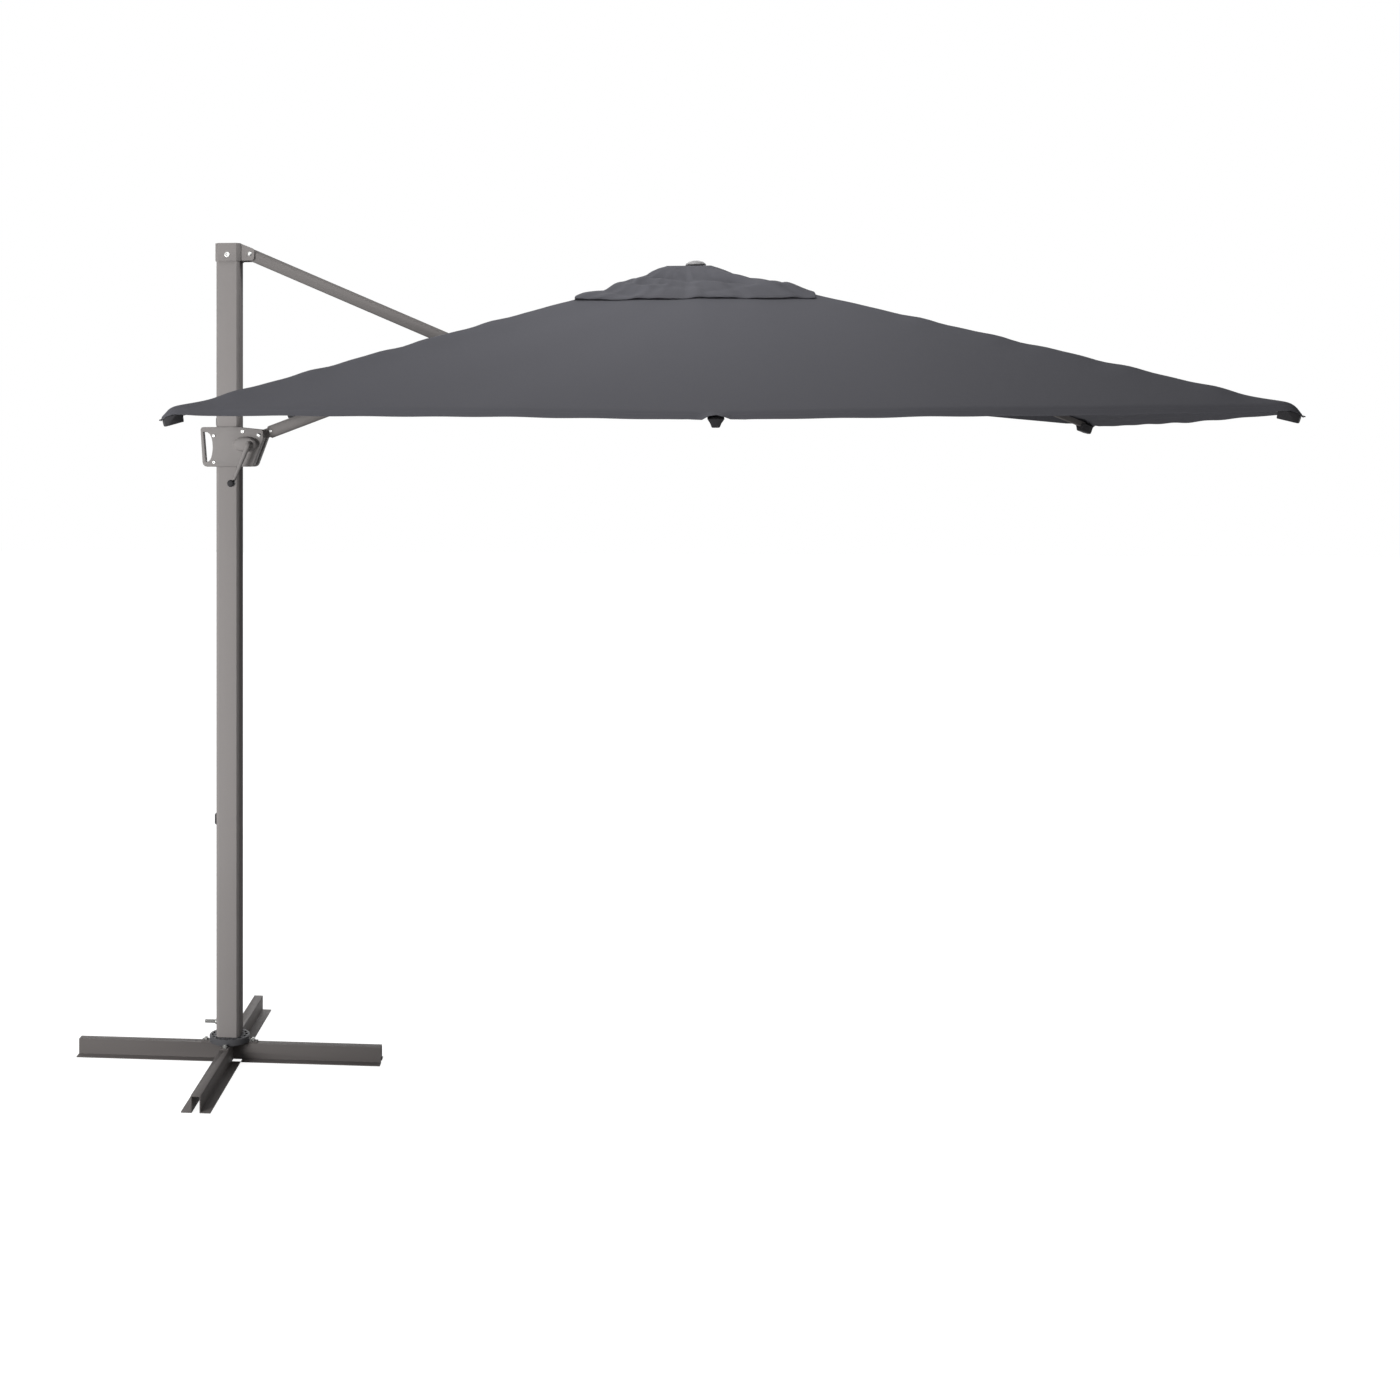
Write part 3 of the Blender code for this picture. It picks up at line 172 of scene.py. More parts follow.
class Tree:
    """A node tree that is filled one node at a time."""

    def __init__(self, node_tree):
        self.node_tree = node_tree

    def node(self, kind, settings=None, sockets=None, out=0):
        made = self.node_tree.nodes.new(kind)
        for key, value in (settings or {}).items():
            setattr(made, key, value)
        for key, value in (sockets or {}).items():
            self.put(made.inputs[key], value)
        return Signal(self, made.outputs[out]) if made.outputs else made

    def put(self, socket, value):
        if isinstance(value, Signal):
            self.node_tree.links.new(value.socket, socket)
        else:
            socket.default_value = value

    def other(self, signal, out):
        """Another output of the node that a signal comes from."""
        return Signal(self, signal.socket.node.outputs[out])

    def math(self, operation, first, second=0.0):
        return self.node("ShaderNodeMath", {"operation": operation}, {0: first, 1: second})

    def seen_directly(self):
        """1 to the camera, in reflections and through glass, and 0 for light that falls on a piece."""
        path = self.node("ShaderNodeLightPath", out="Is Camera Ray")
        seen = self.math("MAXIMUM", path, self.other(path, "Is Glossy Ray"))
        return self.math("MAXIMUM", seen, self.other(path, "Is Transmission Ray"))


class Finish(Tree):
    """One material, built round its Principled shader."""

    def __init__(self, name, roughness, metallic=0.0, specular=0.08):
        self.material = bpy.data.materials.new(name)
        self.material.use_nodes = True
        super().__init__(self.material.node_tree)
        self.shader = self.node_tree.nodes["Principled BSDF"]
        self.roughness = roughness
        self.shader.inputs["Roughness"].default_value = roughness
        self.shader.inputs["Metallic"].default_value = metallic
        self.shader.inputs["Specular IOR Level"].default_value = specular
        self.place = self.node("ShaderNodeTexCoord", out="Object")

    def noise(self, scale, detail=2.0, where=None, stretch=None):
        spot = where or self.place
        if stretch:
            spot = self.node("ShaderNodeMapping", None, {"Vector": spot, "Scale": stretch})
        return self.node("ShaderNodeTexNoise", None, {"Vector": spot, "Scale": scale, "Detail": detail})

    def colour(self, low, high, share):
        """Base Color between two colours, by a share from 0 to 1."""
        mixed = self.node(
            "ShaderNodeMix",
            {"data_type": "RGBA"},
            {"Factor": share, 6: (*low, 1), 7: (*high, 1)},
            out=2,
        )
        self.put(self.shader.inputs["Base Color"], mixed)

    def roughen(self, pattern, spread):
        """Roughness that a pattern moves up and down within a spread."""
        self.put(self.shader.inputs["Roughness"], pattern * spread + (self.roughness - spread / 2))

    def relief(self, height, distance, strength):
        sockets = {"Height": height, "Distance": distance, "Strength": strength}
        self.put(self.shader.inputs["Normal"], self.node("ShaderNodeBump", None, sockets))


print("signals, trees and finishes are ready")

# %% [markdown]
# ## Floor
# Studio pictures of garden furniture are shot on a white sweep. To the camera and to reflections this floor
# glows white, and a share of plain matte shading on top of the glow leaves a faint shadow under the cross.

# %% Floor
FLOOR_SIZE = 60
FLOOR_GLOW = 0.92
FLOOR_GREY = (0.42, 0.42, 0.42, 1)
BELOW_FEET = 0.0005


def sweep_finish():
    material = bpy.data.materials.new("white_sweep")
    material.use_nodes = True
    material.node_tree.nodes.clear()
    tree = Tree(material.node_tree)
    glow = tree.node("ShaderNodeEmission", None, {"Strength": tree.seen_directly() * FLOOR_GLOW})
    matte = tree.node("ShaderNodeBsdfDiffuse", None, {"Color": FLOOR_GREY})
    both = tree.node("ShaderNodeAddShader", None, {0: glow, 1: matte})
    tree.node("ShaderNodeOutputMaterial", None, {"Surface": both})
    return material


bpy.ops.object.select_all(action="DESELECT")
bpy.ops.mesh.primitive_plane_add(size=FLOOR_SIZE, location=(0, 0, -BELOW_FEET))
floor = bpy.context.object
floor.name = "studio_floor"
floor.data.materials.append(sweep_finish())
floor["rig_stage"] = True
print("white sweep laid")

# %% [markdown]
# ## Light
# The photograph's mast is bright on its front and left, and dark on its right, and the canopy fades from its
# crown to its hems. So one broad lamp stands low at the front left and a smaller one hangs above the crown. A
# weak sun lights the back for the other views, and the white room fills the rest.

# %% Light
ROOM_FILL = 0.17
world = bpy.data.worlds.new("white_room")
bpy.context.scene.world = world
world.use_nodes = True
room = Tree(world.node_tree)
backdrop = world.node_tree.nodes["Background"]
backdrop.inputs["Color"].default_value = (1, 1, 1, 1)
room.put(backdrop.inputs["Strength"], room.seen_directly() * (1 - ROOM_FILL) + ROOM_FILL)


def aimed_lamp(name, kind, power, place, target):
    data = bpy.data.lights.new(name, kind)
    data.energy = power
    lamp = linked(name, data)
    lamp.location = place
    lamp.rotation_euler = (Vector(target) - Vector(place)).to_track_quat("-Z", "Y").to_euler()
    return data


key = aimed_lamp(
    "key_low_front_left",
    "AREA",
    power=218,
    place=(MAST_X - 2.6, -3.95, 1.7),
    target=(MAST_X, 0, 1.2),
)
key.size = 2.0
crown = aimed_lamp(
    "lamp_above_crown",
    "AREA",
    power=25,
    place=(HUB.x - 0.30, -0.5, 4.15),
    target=(HUB.x - 0.2, -0.4, 2.3),
)
crown.size = 0.8
back = aimed_lamp("fill_behind", "SUN", power=1.5, place=(-0.6, 5.0, 2.8), target=(0, 0, 0))
back.angle = math.radians(60)
bpy.context.scene.view_settings.view_transform = "Standard"
print("room and three lamps are set")

# %% [markdown]
# ## Metal and plastic finishes
# The tubes are powder coated in a warm matte grey: an even colour with a faint cloudiness and a fine orange
# peel. The strut and the arm get a darker copy of the mast's coat as painted shade from the canopy over them,
# and the base is darker and less matte. Plastic has a fine moulded grain, and the plated screws have a
# streaked shine that is duller on the bolts of the base. Noise of several sizes makes all of them, because it
# needs no image and stays sharp from close by.

# %% Metal and plastic finishes
def shades(colour, spread):
    """A darker and a lighter version of a colour."""
    return tuple(c * (1 - spread) for c in colour), tuple(c * (1 + spread) for c in colour)


def powder_coat(name, colour, roughness, gloss=0.0):
    coat = Finish(name, roughness, specular=gloss)
    cloud = coat.noise(scale=3.0, detail=3.0)
    speck = coat.noise(scale=700.0, detail=1.0)
    peel = coat.noise(scale=420.0, detail=1.0)
    coat.colour(*shades(colour, spread=0.06), cloud * 0.75 + speck * 0.25)
    coat.roughen(coat.noise(scale=45.0, detail=3.0), spread=0.14)
    coat.relief(peel * 0.7 + speck * 0.3, distance=0.0001, strength=0.2)
    return coat.material


def moulded(name, colour, roughness):
    plastic = Finish(name, roughness)
    cloud = plastic.noise(scale=12.0, detail=3.0)
    grain = plastic.noise(scale=1500.0, detail=2.0)
    plastic.colour(*shades(colour, spread=0.08), cloud * 0.6 + grain * 0.4)
    plastic.roughen(plastic.noise(scale=90.0, detail=2.0), spread=0.16)
    plastic.relief(grain, distance=0.0001, strength=0.5)
    return plastic.material


def plated(name, colour, roughness, metallic):
    metal = Finish(name, roughness, metallic, specular=0.5)
    streak = metal.noise(scale=300.0, detail=3.0, stretch=(1, 1, 14))
    metal.colour(*shades(colour, spread=0.12), metal.noise(scale=60.0, detail=3.0))
    metal.roughen(streak, spread=0.2)
    metal.relief(streak, distance=0.00005, strength=0.4)
    return metal.material


finishes = {
    "taupe_powder_coat": powder_coat("warm_grey_coat", (0.292, 0.274, 0.268), 0.58),
    "dark_taupe_coat": powder_coat("dark_grey_coat", (0.137, 0.126, 0.122), 0.60, 0.07),
    "dark_plastic": moulded("dark_moulding", (0.040, 0.039, 0.042), 0.52),
    "grey_plastic": moulded("warm_grey_moulding", (0.262, 0.247, 0.241), 0.56),
    "pale_grey_plastic": moulded("pale_moulding", (0.32, 0.317, 0.32), 0.45),
    "zinc_plated": plated("zinc_plate", (0.57, 0.57, 0.56), 0.34, 1.0),
}
# A darker copy of the mast's coat for the strut and the arm: painted shade from the canopy above them.
SHADED_TUBE_COAT = powder_coat("tube_coat", (0.218, 0.205, 0.200), 0.58)
# A lighter copy of the legs' coat for their rolled top edges: a painted highlight.
HIGHLIGHT_EDGE_COAT = powder_coat("rolled_edge_coat", (0.215, 0.200, 0.194), 0.50)
RING_PLASTIC = moulded("ring_moulding", (0.085, 0.085, 0.091), 0.55)
DULL_ZINC = plated("dull_zinc", (0.30, 0.30, 0.29), 0.42, 0.6)
own_finish = {"strut_tube": SHADED_TUBE_COAT, "arm_tube": SHADED_TUBE_COAT}
own_finish.update({name: DULL_ZINC for name in nodes if name.startswith("base_bolt")})
for name, obj in nodes.items():
    finish = own_finish.get(name) or finishes.get(slot_of[name])
    if finish:
        obj.data.materials.clear()
        obj.data.materials.append(finish)
print(len(finishes), "finishes by material slot, and four more for single pieces")

# %% [markdown]
# ## Softened edges
# A pressed, cast or moulded piece has no knife edges: each one catches a thin line of light. The solids are
# plain prisms and turned shapes, so each piece that shows is copied, its loose triangles are joined into
# faces, and a small bevel rounds its edges. Its round faces are then shaded smooth. The legs are folded from
# sheet steel, so their long top edges are rolled round first, with a wider bevel that has a lighter copy of
# their coat as a painted highlight.

# %% Softened edges
SOFT_ANGLE = 38
MERGE = 0.00001
FLAT_ANGLE = math.radians(0.5)
TOP_BAND = 0.0001
LONG_EDGE = 0.3


def only(obj):
    """Select one object and nothing else."""
    bpy.ops.object.select_all(action="DESELECT")
    obj.select_set(True)
    bpy.context.view_layer.objects.active = obj


def bevelled(made, width, segments, angle, smooth):
    """Bevel the active piece where it turns by more than an angle, and shade its round faces smooth."""
    edge = made.modifiers.new("edge", "BEVEL")
    edge.width = width
    edge.segments = segments
    edge.limit_method = "ANGLE"
    edge.angle_limit = math.radians(angle)
    bpy.ops.object.modifier_apply(modifier=edge.name)
    bpy.ops.object.shade_smooth_by_angle(angle=math.radians(smooth))


def rolled(made, width):
    """Roll the long top edges of a folded piece, in a lighter coat that is a painted highlight."""
    mesh = made.data
    mesh.materials.append(HIGHLIGHT_EDGE_COAT)
    top = max(vertex.co.z for vertex in mesh.vertices) - TOP_BAND
    weights = mesh.attributes.new("bevel_weight_edge", "FLOAT", "EDGE")
    for edge in mesh.edges:
        first, second = (mesh.vertices[v].co for v in edge.vertices)
        is_long_top = min(first.z, second.z) > top and (first - second).length > LONG_EDGE
        weights.data[edge.index].value = float(is_long_top)
    roll = made.modifiers.new("roll", "BEVEL")
    roll.width = width
    roll.segments = 4
    roll.limit_method = "WEIGHT"
    # The rolled faces take the lighter coat: a painted highlight along the top edges.
    roll.material = 1
    bpy.ops.object.modifier_apply(modifier=roll.name)


def softened(node, name, width, roll=0):
    """A copy of a solid with soft edges, which takes its place."""
    source = nodes[node]
    made = linked(name, source.data.copy())
    made.data.name = name
    only(made)
    bpy.ops.object.mode_set(mode="EDIT")
    bpy.ops.mesh.select_all(action="SELECT")
    bpy.ops.mesh.remove_doubles(threshold=MERGE)
    bpy.ops.mesh.dissolve_limited(angle_limit=FLAT_ANGLE)
    bpy.ops.object.mode_set(mode="OBJECT")
    if roll:
        rolled(made, roll)
    bevelled(made, width, segments=2, angle=SOFT_ANGLE, smooth=SOFT_ANGLE)
    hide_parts(node)
    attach(made, source["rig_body"])
    return made


print("edges are rounded where a solid turns by more than", SOFT_ANGLE, "degrees")

# %% [markdown]
# Drawn tube and folded sheet have tight edges of about half a millimetre. Castings and mouldings are rounder,
# at about a millimetre, so each piece has its own width.

# %% Pieces with soft edges
LEG_ROLL = 0.0045
EDGE_WIDTHS = {
    "mast_tube": 0.0006,
    "head_cap": 0.0012,
    "strut_tube": 0.0005,
    "arm_tube": 0.0005,
    "carriage_front": 0.0012,
    "carriage_back": 0.0012,
    "leg_along": 0.0005,
    "leg_across": 0.0005,
    "foot_plate": 0.0008,
    "crank_knob": 0.0008,
    "finial": 0.0006,
    "crown": 0.0010,
    "runner": 0.0010,
    "elbow_saddle": 0.0010,
    "arm_tip_fork": 0.0008,
    "upper_stop": 0.0010,
    "lower_stop": 0.0012,
}
for name, width in EDGE_WIDTHS.items():
    made = softened(name, name + "_skin", width, LEG_ROLL if name.startswith("leg") else 0)
    print(made.name, len(made.data.polygons), "faces")

# %% [markdown]
# ## Canopy cloth
# The canopy is a slate woven polyester. Close up it is a plain weave with uneven threads, and each edge is
# turned over and sewn down with one row of stitches. An image of a weave would blur and repeat, so two
# crossed waves make the threads. They follow the cloth, on a UV map in metres, and the stitches follow two
# attributes that hold the distance from the hem and along it.

# %% Cloth finish
CLOTH_COLOUR = (0.110, 0.110, 0.123)
THREAD_PITCH = 0.0016
HEM_WIDTH = 0.020
SEWN_AT = 0.85 * HEM_WIDTH
SEAM_HALF = 0.0007
STITCH = 0.005
STITCH_SHARE = 0.72


def woven_cloth():
    cloth = Finish("slate_weave", 0.86, specular=0.05)
    uv = cloth.node("ShaderNodeUVMap", {"uv_map": "weave"})
    across = cloth.node("ShaderNodeSeparateXYZ", None, {0: uv}, out="X")
    along = cloth.other(across, "Y")
    turn = 2 * math.pi / THREAD_PITCH
    weave = cloth.math("SINE", across * turn) * cloth.math("SINE", along * turn) * 0.5 + 0.5
    weft = cloth.noise(1.0, 2.0, uv, stretch=(12, 800, 1))
    warp = cloth.noise(1.0, 2.0, uv, stretch=(800, 30, 1))
    slubs = weft * 0.5 + warp * 0.5
    cloud = cloth.noise(1.4, 3.0, uv)
    from_hem = cloth.node("ShaderNodeAttribute", {"attribute_name": "from_hem"}, out="Fac")
    along_hem = cloth.node("ShaderNodeAttribute", {"attribute_name": "along_hem"}, out="Fac")
    line = cloth.math("ABSOLUTE", from_hem - SEWN_AT) < SEAM_HALF
    stitch = line * (cloth.math("FRACT", along_hem * (1 / STITCH)) < STITCH_SHARE)
    tone = weave * 0.2 + slubs * 0.5 + cloud * 0.3 + stitch * 0.6
    cloth.colour(*shades(CLOTH_COLOUR, spread=0.14), tone)
    cloth.put(cloth.shader.inputs["Roughness"], cloud * 0.1 + 0.80)
    cloth.relief(weave * 0.5 + slubs * 0.5 + stitch, distance=0.0003, strength=0.6)
    return cloth.material


SLATE = woven_cloth()
print("weave of", THREAD_PITCH * 1000, "mm threads")

# %% [markdown]
# ## Canopy surface
# The cloth is stretched straight along six ribs. A simulation would only find that tight shape again, so it
# is written down: each rib has a plan, a slope and the height at which the cloth lies on it. The sizes are
# those of the solids.

# %% Ribs
HALF_LENGTH = 1.5
HALF_WIDTH = 1.0
RIB_DROP = 0.477
RIB_HEIGHT = 0.020
RIB_WIDTH = 0.012
RIB_PIVOT_RADIUS = 0.046
CLOTH_THICK = 0.0008
SEAT_GAP = 0.0003


class Rib:
    """A rib's plan, slope and cloth height, with the draw and the fall of the hem after it."""

    def __init__(self, name, along, across, lift, hem_draw, hem_fall):
        self.name = name
        self.corner = along != 0
        self.plan = np.array((along * HALF_LENGTH, across * HALF_WIDTH))
        self.reach = float(np.hypot(*self.plan))
        self.out = self.plan / self.reach
        self.side = np.array((-self.out[1], self.out[0]))
        self.slope = (RIB_DROP - lift) / (self.reach - RIB_PIVOT_RADIUS)
        ridge = RIB_DROP / self.reach if self.corner else max(lift, 0) / HALF_LENGTH
        gap = SEAT_GAP + ridge * RIB_WIDTH
        self.offset = (RIB_HEIGHT / 2 + gap + CLOTH_THICK) * math.hypot(1, self.slope)
        self.hem_draw = hem_draw
        self.hem_fall = hem_fall

    def height(self, share):
        return HUB.z - (share * self.reach - RIB_PIVOT_RADIUS) * self.slope + self.offset


RIBS = [
    Rib("near_left", -1, -1, 0.000, 0.016, 0.012),
    Rib("near_mid", 0, -1, -0.010, 0.010, 0.012),
    Rib("near_right", 1, -1, 0.004, 0.012, 0.020),
    Rib("far_right", 1, 1, 0.000, 0.080, 0.014),
    Rib("far_mid", 0, 1, 0.080, 0.050, 0.014),
    Rib("far_left", -1, 1, 0.065, 0.030, 0.010),
]


def after(rib):
    return RIBS[(RIBS.index(rib) + 1) % len(RIBS)]


print("canopy corner at", [round(float(v), 3) for v in RIBS[0].plan], "from the hub")

# %% [markdown]
# Two ribs bound each panel, and a point between them is a mix of the two. The cloth hangs a few millimetres
# there, ripples a little, and is pulled into short waves near its hem.

# %% Panels
PANEL_SAG = 0.004
RIPPLE = 0.0016
HEM_PULL = 0.0028


def panel_point(first, second, across, share):
    """Plan and height of the cloth between two ribs, with the panel's sag and slight ripples."""
    arch = 4 * across * (1 - across)
    reach = share * (1 - first.hem_draw * arch * share**3)
    plan = ((1 - across)[..., None] * first.plan + across[..., None] * second.plan) * reach[..., None]
    height = (1 - across) * first.height(reach) + across * second.height(reach)
    height = height - PANEL_SAG * arch * np.sin(np.pi * share)
    phase = RIBS.index(first)
    slow = np.sin(7.0 * share + 5.0 * across + phase) * np.sin(9.0 * across + 2.0 * phase)
    pull = np.sin(34 * across + phase) * np.clip(share - 0.6, 0, 1) ** 2
    return plan, height + arch * (RIPPLE * slow + HEM_PULL * pull)


def canopy_height(plan):
    """Height of the plain canopy over points of the plan."""
    height = np.zeros(len(plan))
    for rib in RIBS:
        edges = np.stack([rib.plan, after(rib).plan], axis=1)
        weights = np.linalg.solve(edges, plan.T).T
        share = weights.sum(1)
        inside = (weights >= -1e-9).all(1) & (share > 0)
        across = weights[inside, 1] / share[inside]
        height[inside] = panel_point(rib, after(rib), across, share[inside])[1]
    return height


middle = panel_point(RIBS[0], RIBS[1], np.array([0.5]), np.array([0.5]))
print(f"the middle of the first panel is {middle[1][0]:.3f} m up")

# %% [markdown]
# ## Canopy sheets
# Six sheets, one to a rib, meet edge to edge in the middle of the panels: at rest they are one surface, and
# each can still go down with its rib. Three small shapes come first. The seams over the corner ribs pucker a
# little, the corners are drawn over the rib ends in a round nose, and a slit lets the strut and the mast
# through.

# %% Puckers, corners and slit
PUCKER = 0.0026
SEAM_REACH = 0.05
NOSE = 0.034
NOSE_TURN = math.radians(62)
SLIT_HALF = 0.030
SLIT_HALF_AT_MAST = 0.048
SLIT_FROM = 0.446
SLIT_FULL = 0.461
SLIT_WIDENS = 0.88
SLIT_WIDENING = 0.06


def smooth_step(value):
    value = np.clip(value, 0, 1)
    return value * value * (3 - 2 * value)


def flutter(rib, distance, side):
    """Small puckers where the cloth is sewn over a corner rib; they only ever rise."""
    beat = np.sin(distance * 31.0 + 2.0 * rib.plan[0]) + 0.6 * np.sin(distance * 53.0 + rib.plan[1])
    grow = np.clip((distance - 0.4) / 0.4, 0, 1) * np.clip((rib.reach - distance) / 0.08, 0, 1)
    return PUCKER * (1 + beat / 1.6) * np.exp(-((side / SEAM_REACH) ** 2)) * grow


def drawn_nose(rib, plan, height):
    """Bend the last of a corner round and down over the end of its rib."""
    past = np.clip(plan @ rib.out - (rib.reach - NOSE), 0, None)
    bend = past / NOSE * NOSE_TURN
    radius = NOSE / NOSE_TURN
    advance = radius * np.sin(bend)
    plan = plan + (advance - past)[..., None] * rib.out
    return plan, height + (past - advance) * rib.slope - radius * (1 - np.cos(bend))


def slit_half(share):
    """Half of the slit's width on each row, which is wider round the mast."""
    widening = smooth_step((share - SLIT_WIDENS) / SLIT_WIDENING)
    half = SLIT_HALF + (SLIT_HALF_AT_MAST - SLIT_HALF) * widening
    return half * np.clip((share - SLIT_FROM) / (SLIT_FULL - SLIT_FROM), 0, 1) ** 0.5


print(f"slit {2000 * SLIT_HALF:.0f} mm wide, {2000 * SLIT_HALF_AT_MAST:.0f} mm at the mast")

# %% [markdown]
# Each sheet is a grid whose rows run from the vent's opening to the hem, closer together near the hem. The
# hem is turned down along its whole length, in shallow scallops. Over the cap of a middle rib it arches up
# and puckers, and near a corner the cloth swells before it bends over the rib's end.

# %% Points of a sheet
ROWS, COLUMNS = 72, 80
OPENING_SHARE = 0.18
ROW_CROWDING = 1.6
HEM_BEND = 0.030
RIB_HEM_FALL = 0.008
RIB_BLEND = 0.12
SCALLOP = 0.07
CAP_ARCH = 0.024
CAP_ARCH_RISE = 0.005
CAP_PUCKER = 0.0012
CAP_PUCKER_WIDE = 0.07
CAP_PUCKER_DEEP = 0.06
PLUMP = 0.005
PLUMP_BACK = 0.045
PLUMP_LENGTH = 0.032


def hem_of(rib):
    """Length of the hem after a rib, and its distance from the hub."""
    run = after(rib).plan - rib.plan
    length = float(np.hypot(*run))
    return length, abs(rib.plan[0] * run[1] - rib.plan[1] * run[0]) / length


def petal_grid(rib):
    """Plan, height, distance from the hem and distance along it, for one rib's sheet."""
    before = RIBS[RIBS.index(rib) - 1]
    rows = OPENING_SHARE + (1 - OPENING_SHARE) * (1 - (1 - np.linspace(0, 1, ROWS + 1)) ** ROW_CROWDING)
    share, step = np.meshgrid(rows, np.linspace(-1, 1, COLUMNS + 1), indexing="ij")
    lower = step < 0
    across = np.abs(step) * 0.5
    slit_side = {"near_left": lower, "far_left": ~lower}.get(rib.name)
    if slit_side is not None:
        up_to_slit = np.abs(step) * (0.5 - slit_half(share) / (2 * HALF_WIDTH * share))
        across = np.where(slit_side, up_to_slit, across)
    plan_low, height_low = panel_point(before, rib, 1 - across, share)
    plan_high, height_high = panel_point(rib, after(rib), across, share)
    plan = np.where(lower[..., None], plan_low, plan_high)
    height = np.where(lower, height_low, height_high)
    along = plan @ rib.out
    aside = plan @ rib.side
    (length_low, far_low), (length_high, far_high) = hem_of(before), hem_of(rib)
    from_hem = (1 - share) * np.interp(step, (-RIB_BLEND, RIB_BLEND), (far_low, far_high))
    arch = 4 * across * (1 - across)
    fall = RIB_HEM_FALL + (np.where(lower, before.hem_fall, rib.hem_fall) - RIB_HEM_FALL) * arch
    if not rib.corner:
        fall = fall - (fall + CAP_ARCH_RISE) * np.exp(-((aside / CAP_ARCH) ** 4))
        near_cap = np.exp(-((aside / CAP_PUCKER_WIDE) ** 2) - (from_hem / CAP_PUCKER_DEEP) ** 2)
        height = height + CAP_PUCKER * np.sin(aside * 230) * near_cap
    scallop = 1 + SCALLOP * np.cos(14 * math.pi * across) * arch
    height = height - fall * scallop * smooth_step(1 - from_hem / HEM_BEND)
    if rib.corner:
        height = height + flutter(rib, along, aside)
        from_swell = (rib.reach - along - PLUMP_BACK) / PLUMP_LENGTH
        height = height + PLUMP * np.exp(-(from_swell**2) - (aside / SEAM_REACH) ** 2)
        plan, height = drawn_nose(rib, plan, height)
    return plan, height, from_hem, across * np.where(lower, length_low, length_high)


print(ROWS * COLUMNS, "faces in each sheet")

# %% [markdown]
# A sheet starts as a flat grid and is then laid on that surface. It keeps the distances for the stitches, and
# its UV map is the plan in metres. Each sheet rides on its rib.


def named(obj, name):
    """Give a piece and its mesh the same name."""
    obj.name = name
    obj.data.name = name
    return obj


def set_attribute(mesh, name, values):
    layer = mesh.attributes.new(name, "FLOAT", "POINT")
    layer.data.foreach_set("value", values.astype(np.float32).ravel())


def set_weave(mesh, plan):
    layer = mesh.uv_layers[0]
    layer.name = "weave"
    corners = np.zeros(len(mesh.loops), np.int32)
    mesh.loops.foreach_get("vertex_index", corners)
    layer.data.foreach_set("uv", plan.reshape(-1, 2)[corners].astype(np.float32).ravel())


def face_upwards(mesh):
    mesh.update()
    if sum(face.normal.z * face.area for face in mesh.polygons) < 0:
        mesh.flip_normals()


def thicken(obj):
    only(obj)
    wall = obj.modifiers.new("cloth", "SOLIDIFY")
    wall.thickness = CLOTH_THICK
    wall.offset = -1
    bpy.ops.object.modifier_apply(modifier=wall.name)
    bpy.ops.object.shade_smooth_by_angle(angle=math.radians(60))


def fold_with(sheet, rib):
    """Let a sheet go down with its rib, on a mesh of its own."""
    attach(sheet, "rib_" + rib.name)
    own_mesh(sheet)


def tell_cut(sheet, area, width, length):
    print(f"{sheet.name}: {area:.3f} m2 of cloth, cut from {width:.2f} by {length:.2f} m")


def make_petal(rib):
    bpy.ops.object.select_all(action="DESELECT")
    bpy.ops.mesh.primitive_grid_add(x_subdivisions=COLUMNS, y_subdivisions=ROWS, size=1, location=(0, 0, 0))
    sheet = named(bpy.context.object, "canopy_" + rib.name)
    mesh = sheet.data
    plan, height, from_hem, along_hem = petal_grid(rib)
    points = np.concatenate([plan + (HUB.x, 0), height[..., None]], axis=-1)
    mesh.vertices.foreach_set("co", points.astype(np.float32).ravel())
    set_attribute(mesh, "from_hem", from_hem)
    set_attribute(mesh, "along_hem", along_hem)
    set_weave(mesh, plan)
    face_upwards(mesh)
    area = sum(face.area for face in mesh.polygons)
    width = float(np.ptp(plan @ rib.side))
    length = float(np.ptp(plan @ rib.out)) * math.hypot(1, rib.slope)
    thicken(sheet)
    mesh.materials.append(SLATE)
    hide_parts("petal_" + rib.name)
    fold_with(sheet, rib)
    tell_cut(sheet, area, width, length)


for rib in RIBS:
    make_petal(rib)

# %% [markdown]
# ## Vent
# The vent is a small second roof that lets wind out. It is a loose cap held only at the finial and the
# corners, so its sides are rumpled. A simulation would give folds of its own, but these have their places in
# the picture, so they are written down: soft pleats as waves, and creases from the packing as pressed lines.

# %% Folds of the vent
VENT_HALF = np.array((0.366, 0.264))
AROUND = 360
CREASES = [
    ((0.05, -0.06), (0.25, -0.17), -0.006),
    ((0.06, -0.09), (0.24, -0.21), 0.005),
    ((-0.08, -0.06), (-0.19, -0.15), 0.005),
    ((-0.19, -0.15), (-0.03, -0.13), 0.004),
    ((0.02, -0.23), (0.16, -0.19), -0.005),
    ((-0.26, -0.21), (-0.10, -0.19), 0.005),
    ((-0.05, -0.07), (-0.02, -0.16), -0.004),
    ((0.27, -0.08), (0.12, 0.04), 0.005),
    ((-0.26, 0.10), (-0.12, -0.02), 0.005),
    ((-0.10, 0.18), (0.08, 0.10), -0.005),
]
CREASE_WIDTH = 0.014


def vent_ring():
    """The hem's plan, point by point round the six ribs, and the turn of each point."""
    ring = np.arange(AROUND) / AROUND * len(RIBS)
    plan = np.zeros((AROUND, 2))
    for index, rib in enumerate(RIBS):
        here = np.floor(ring).astype(int) == index
        across = (ring[here] - index)[:, None]
        mixed = (1 - across) * rib.plan + across * after(rib).plan
        plan[here] = mixed / (HALF_LENGTH, HALF_WIDTH) * VENT_HALF
    return plan, ring / len(RIBS) * 2 * math.pi


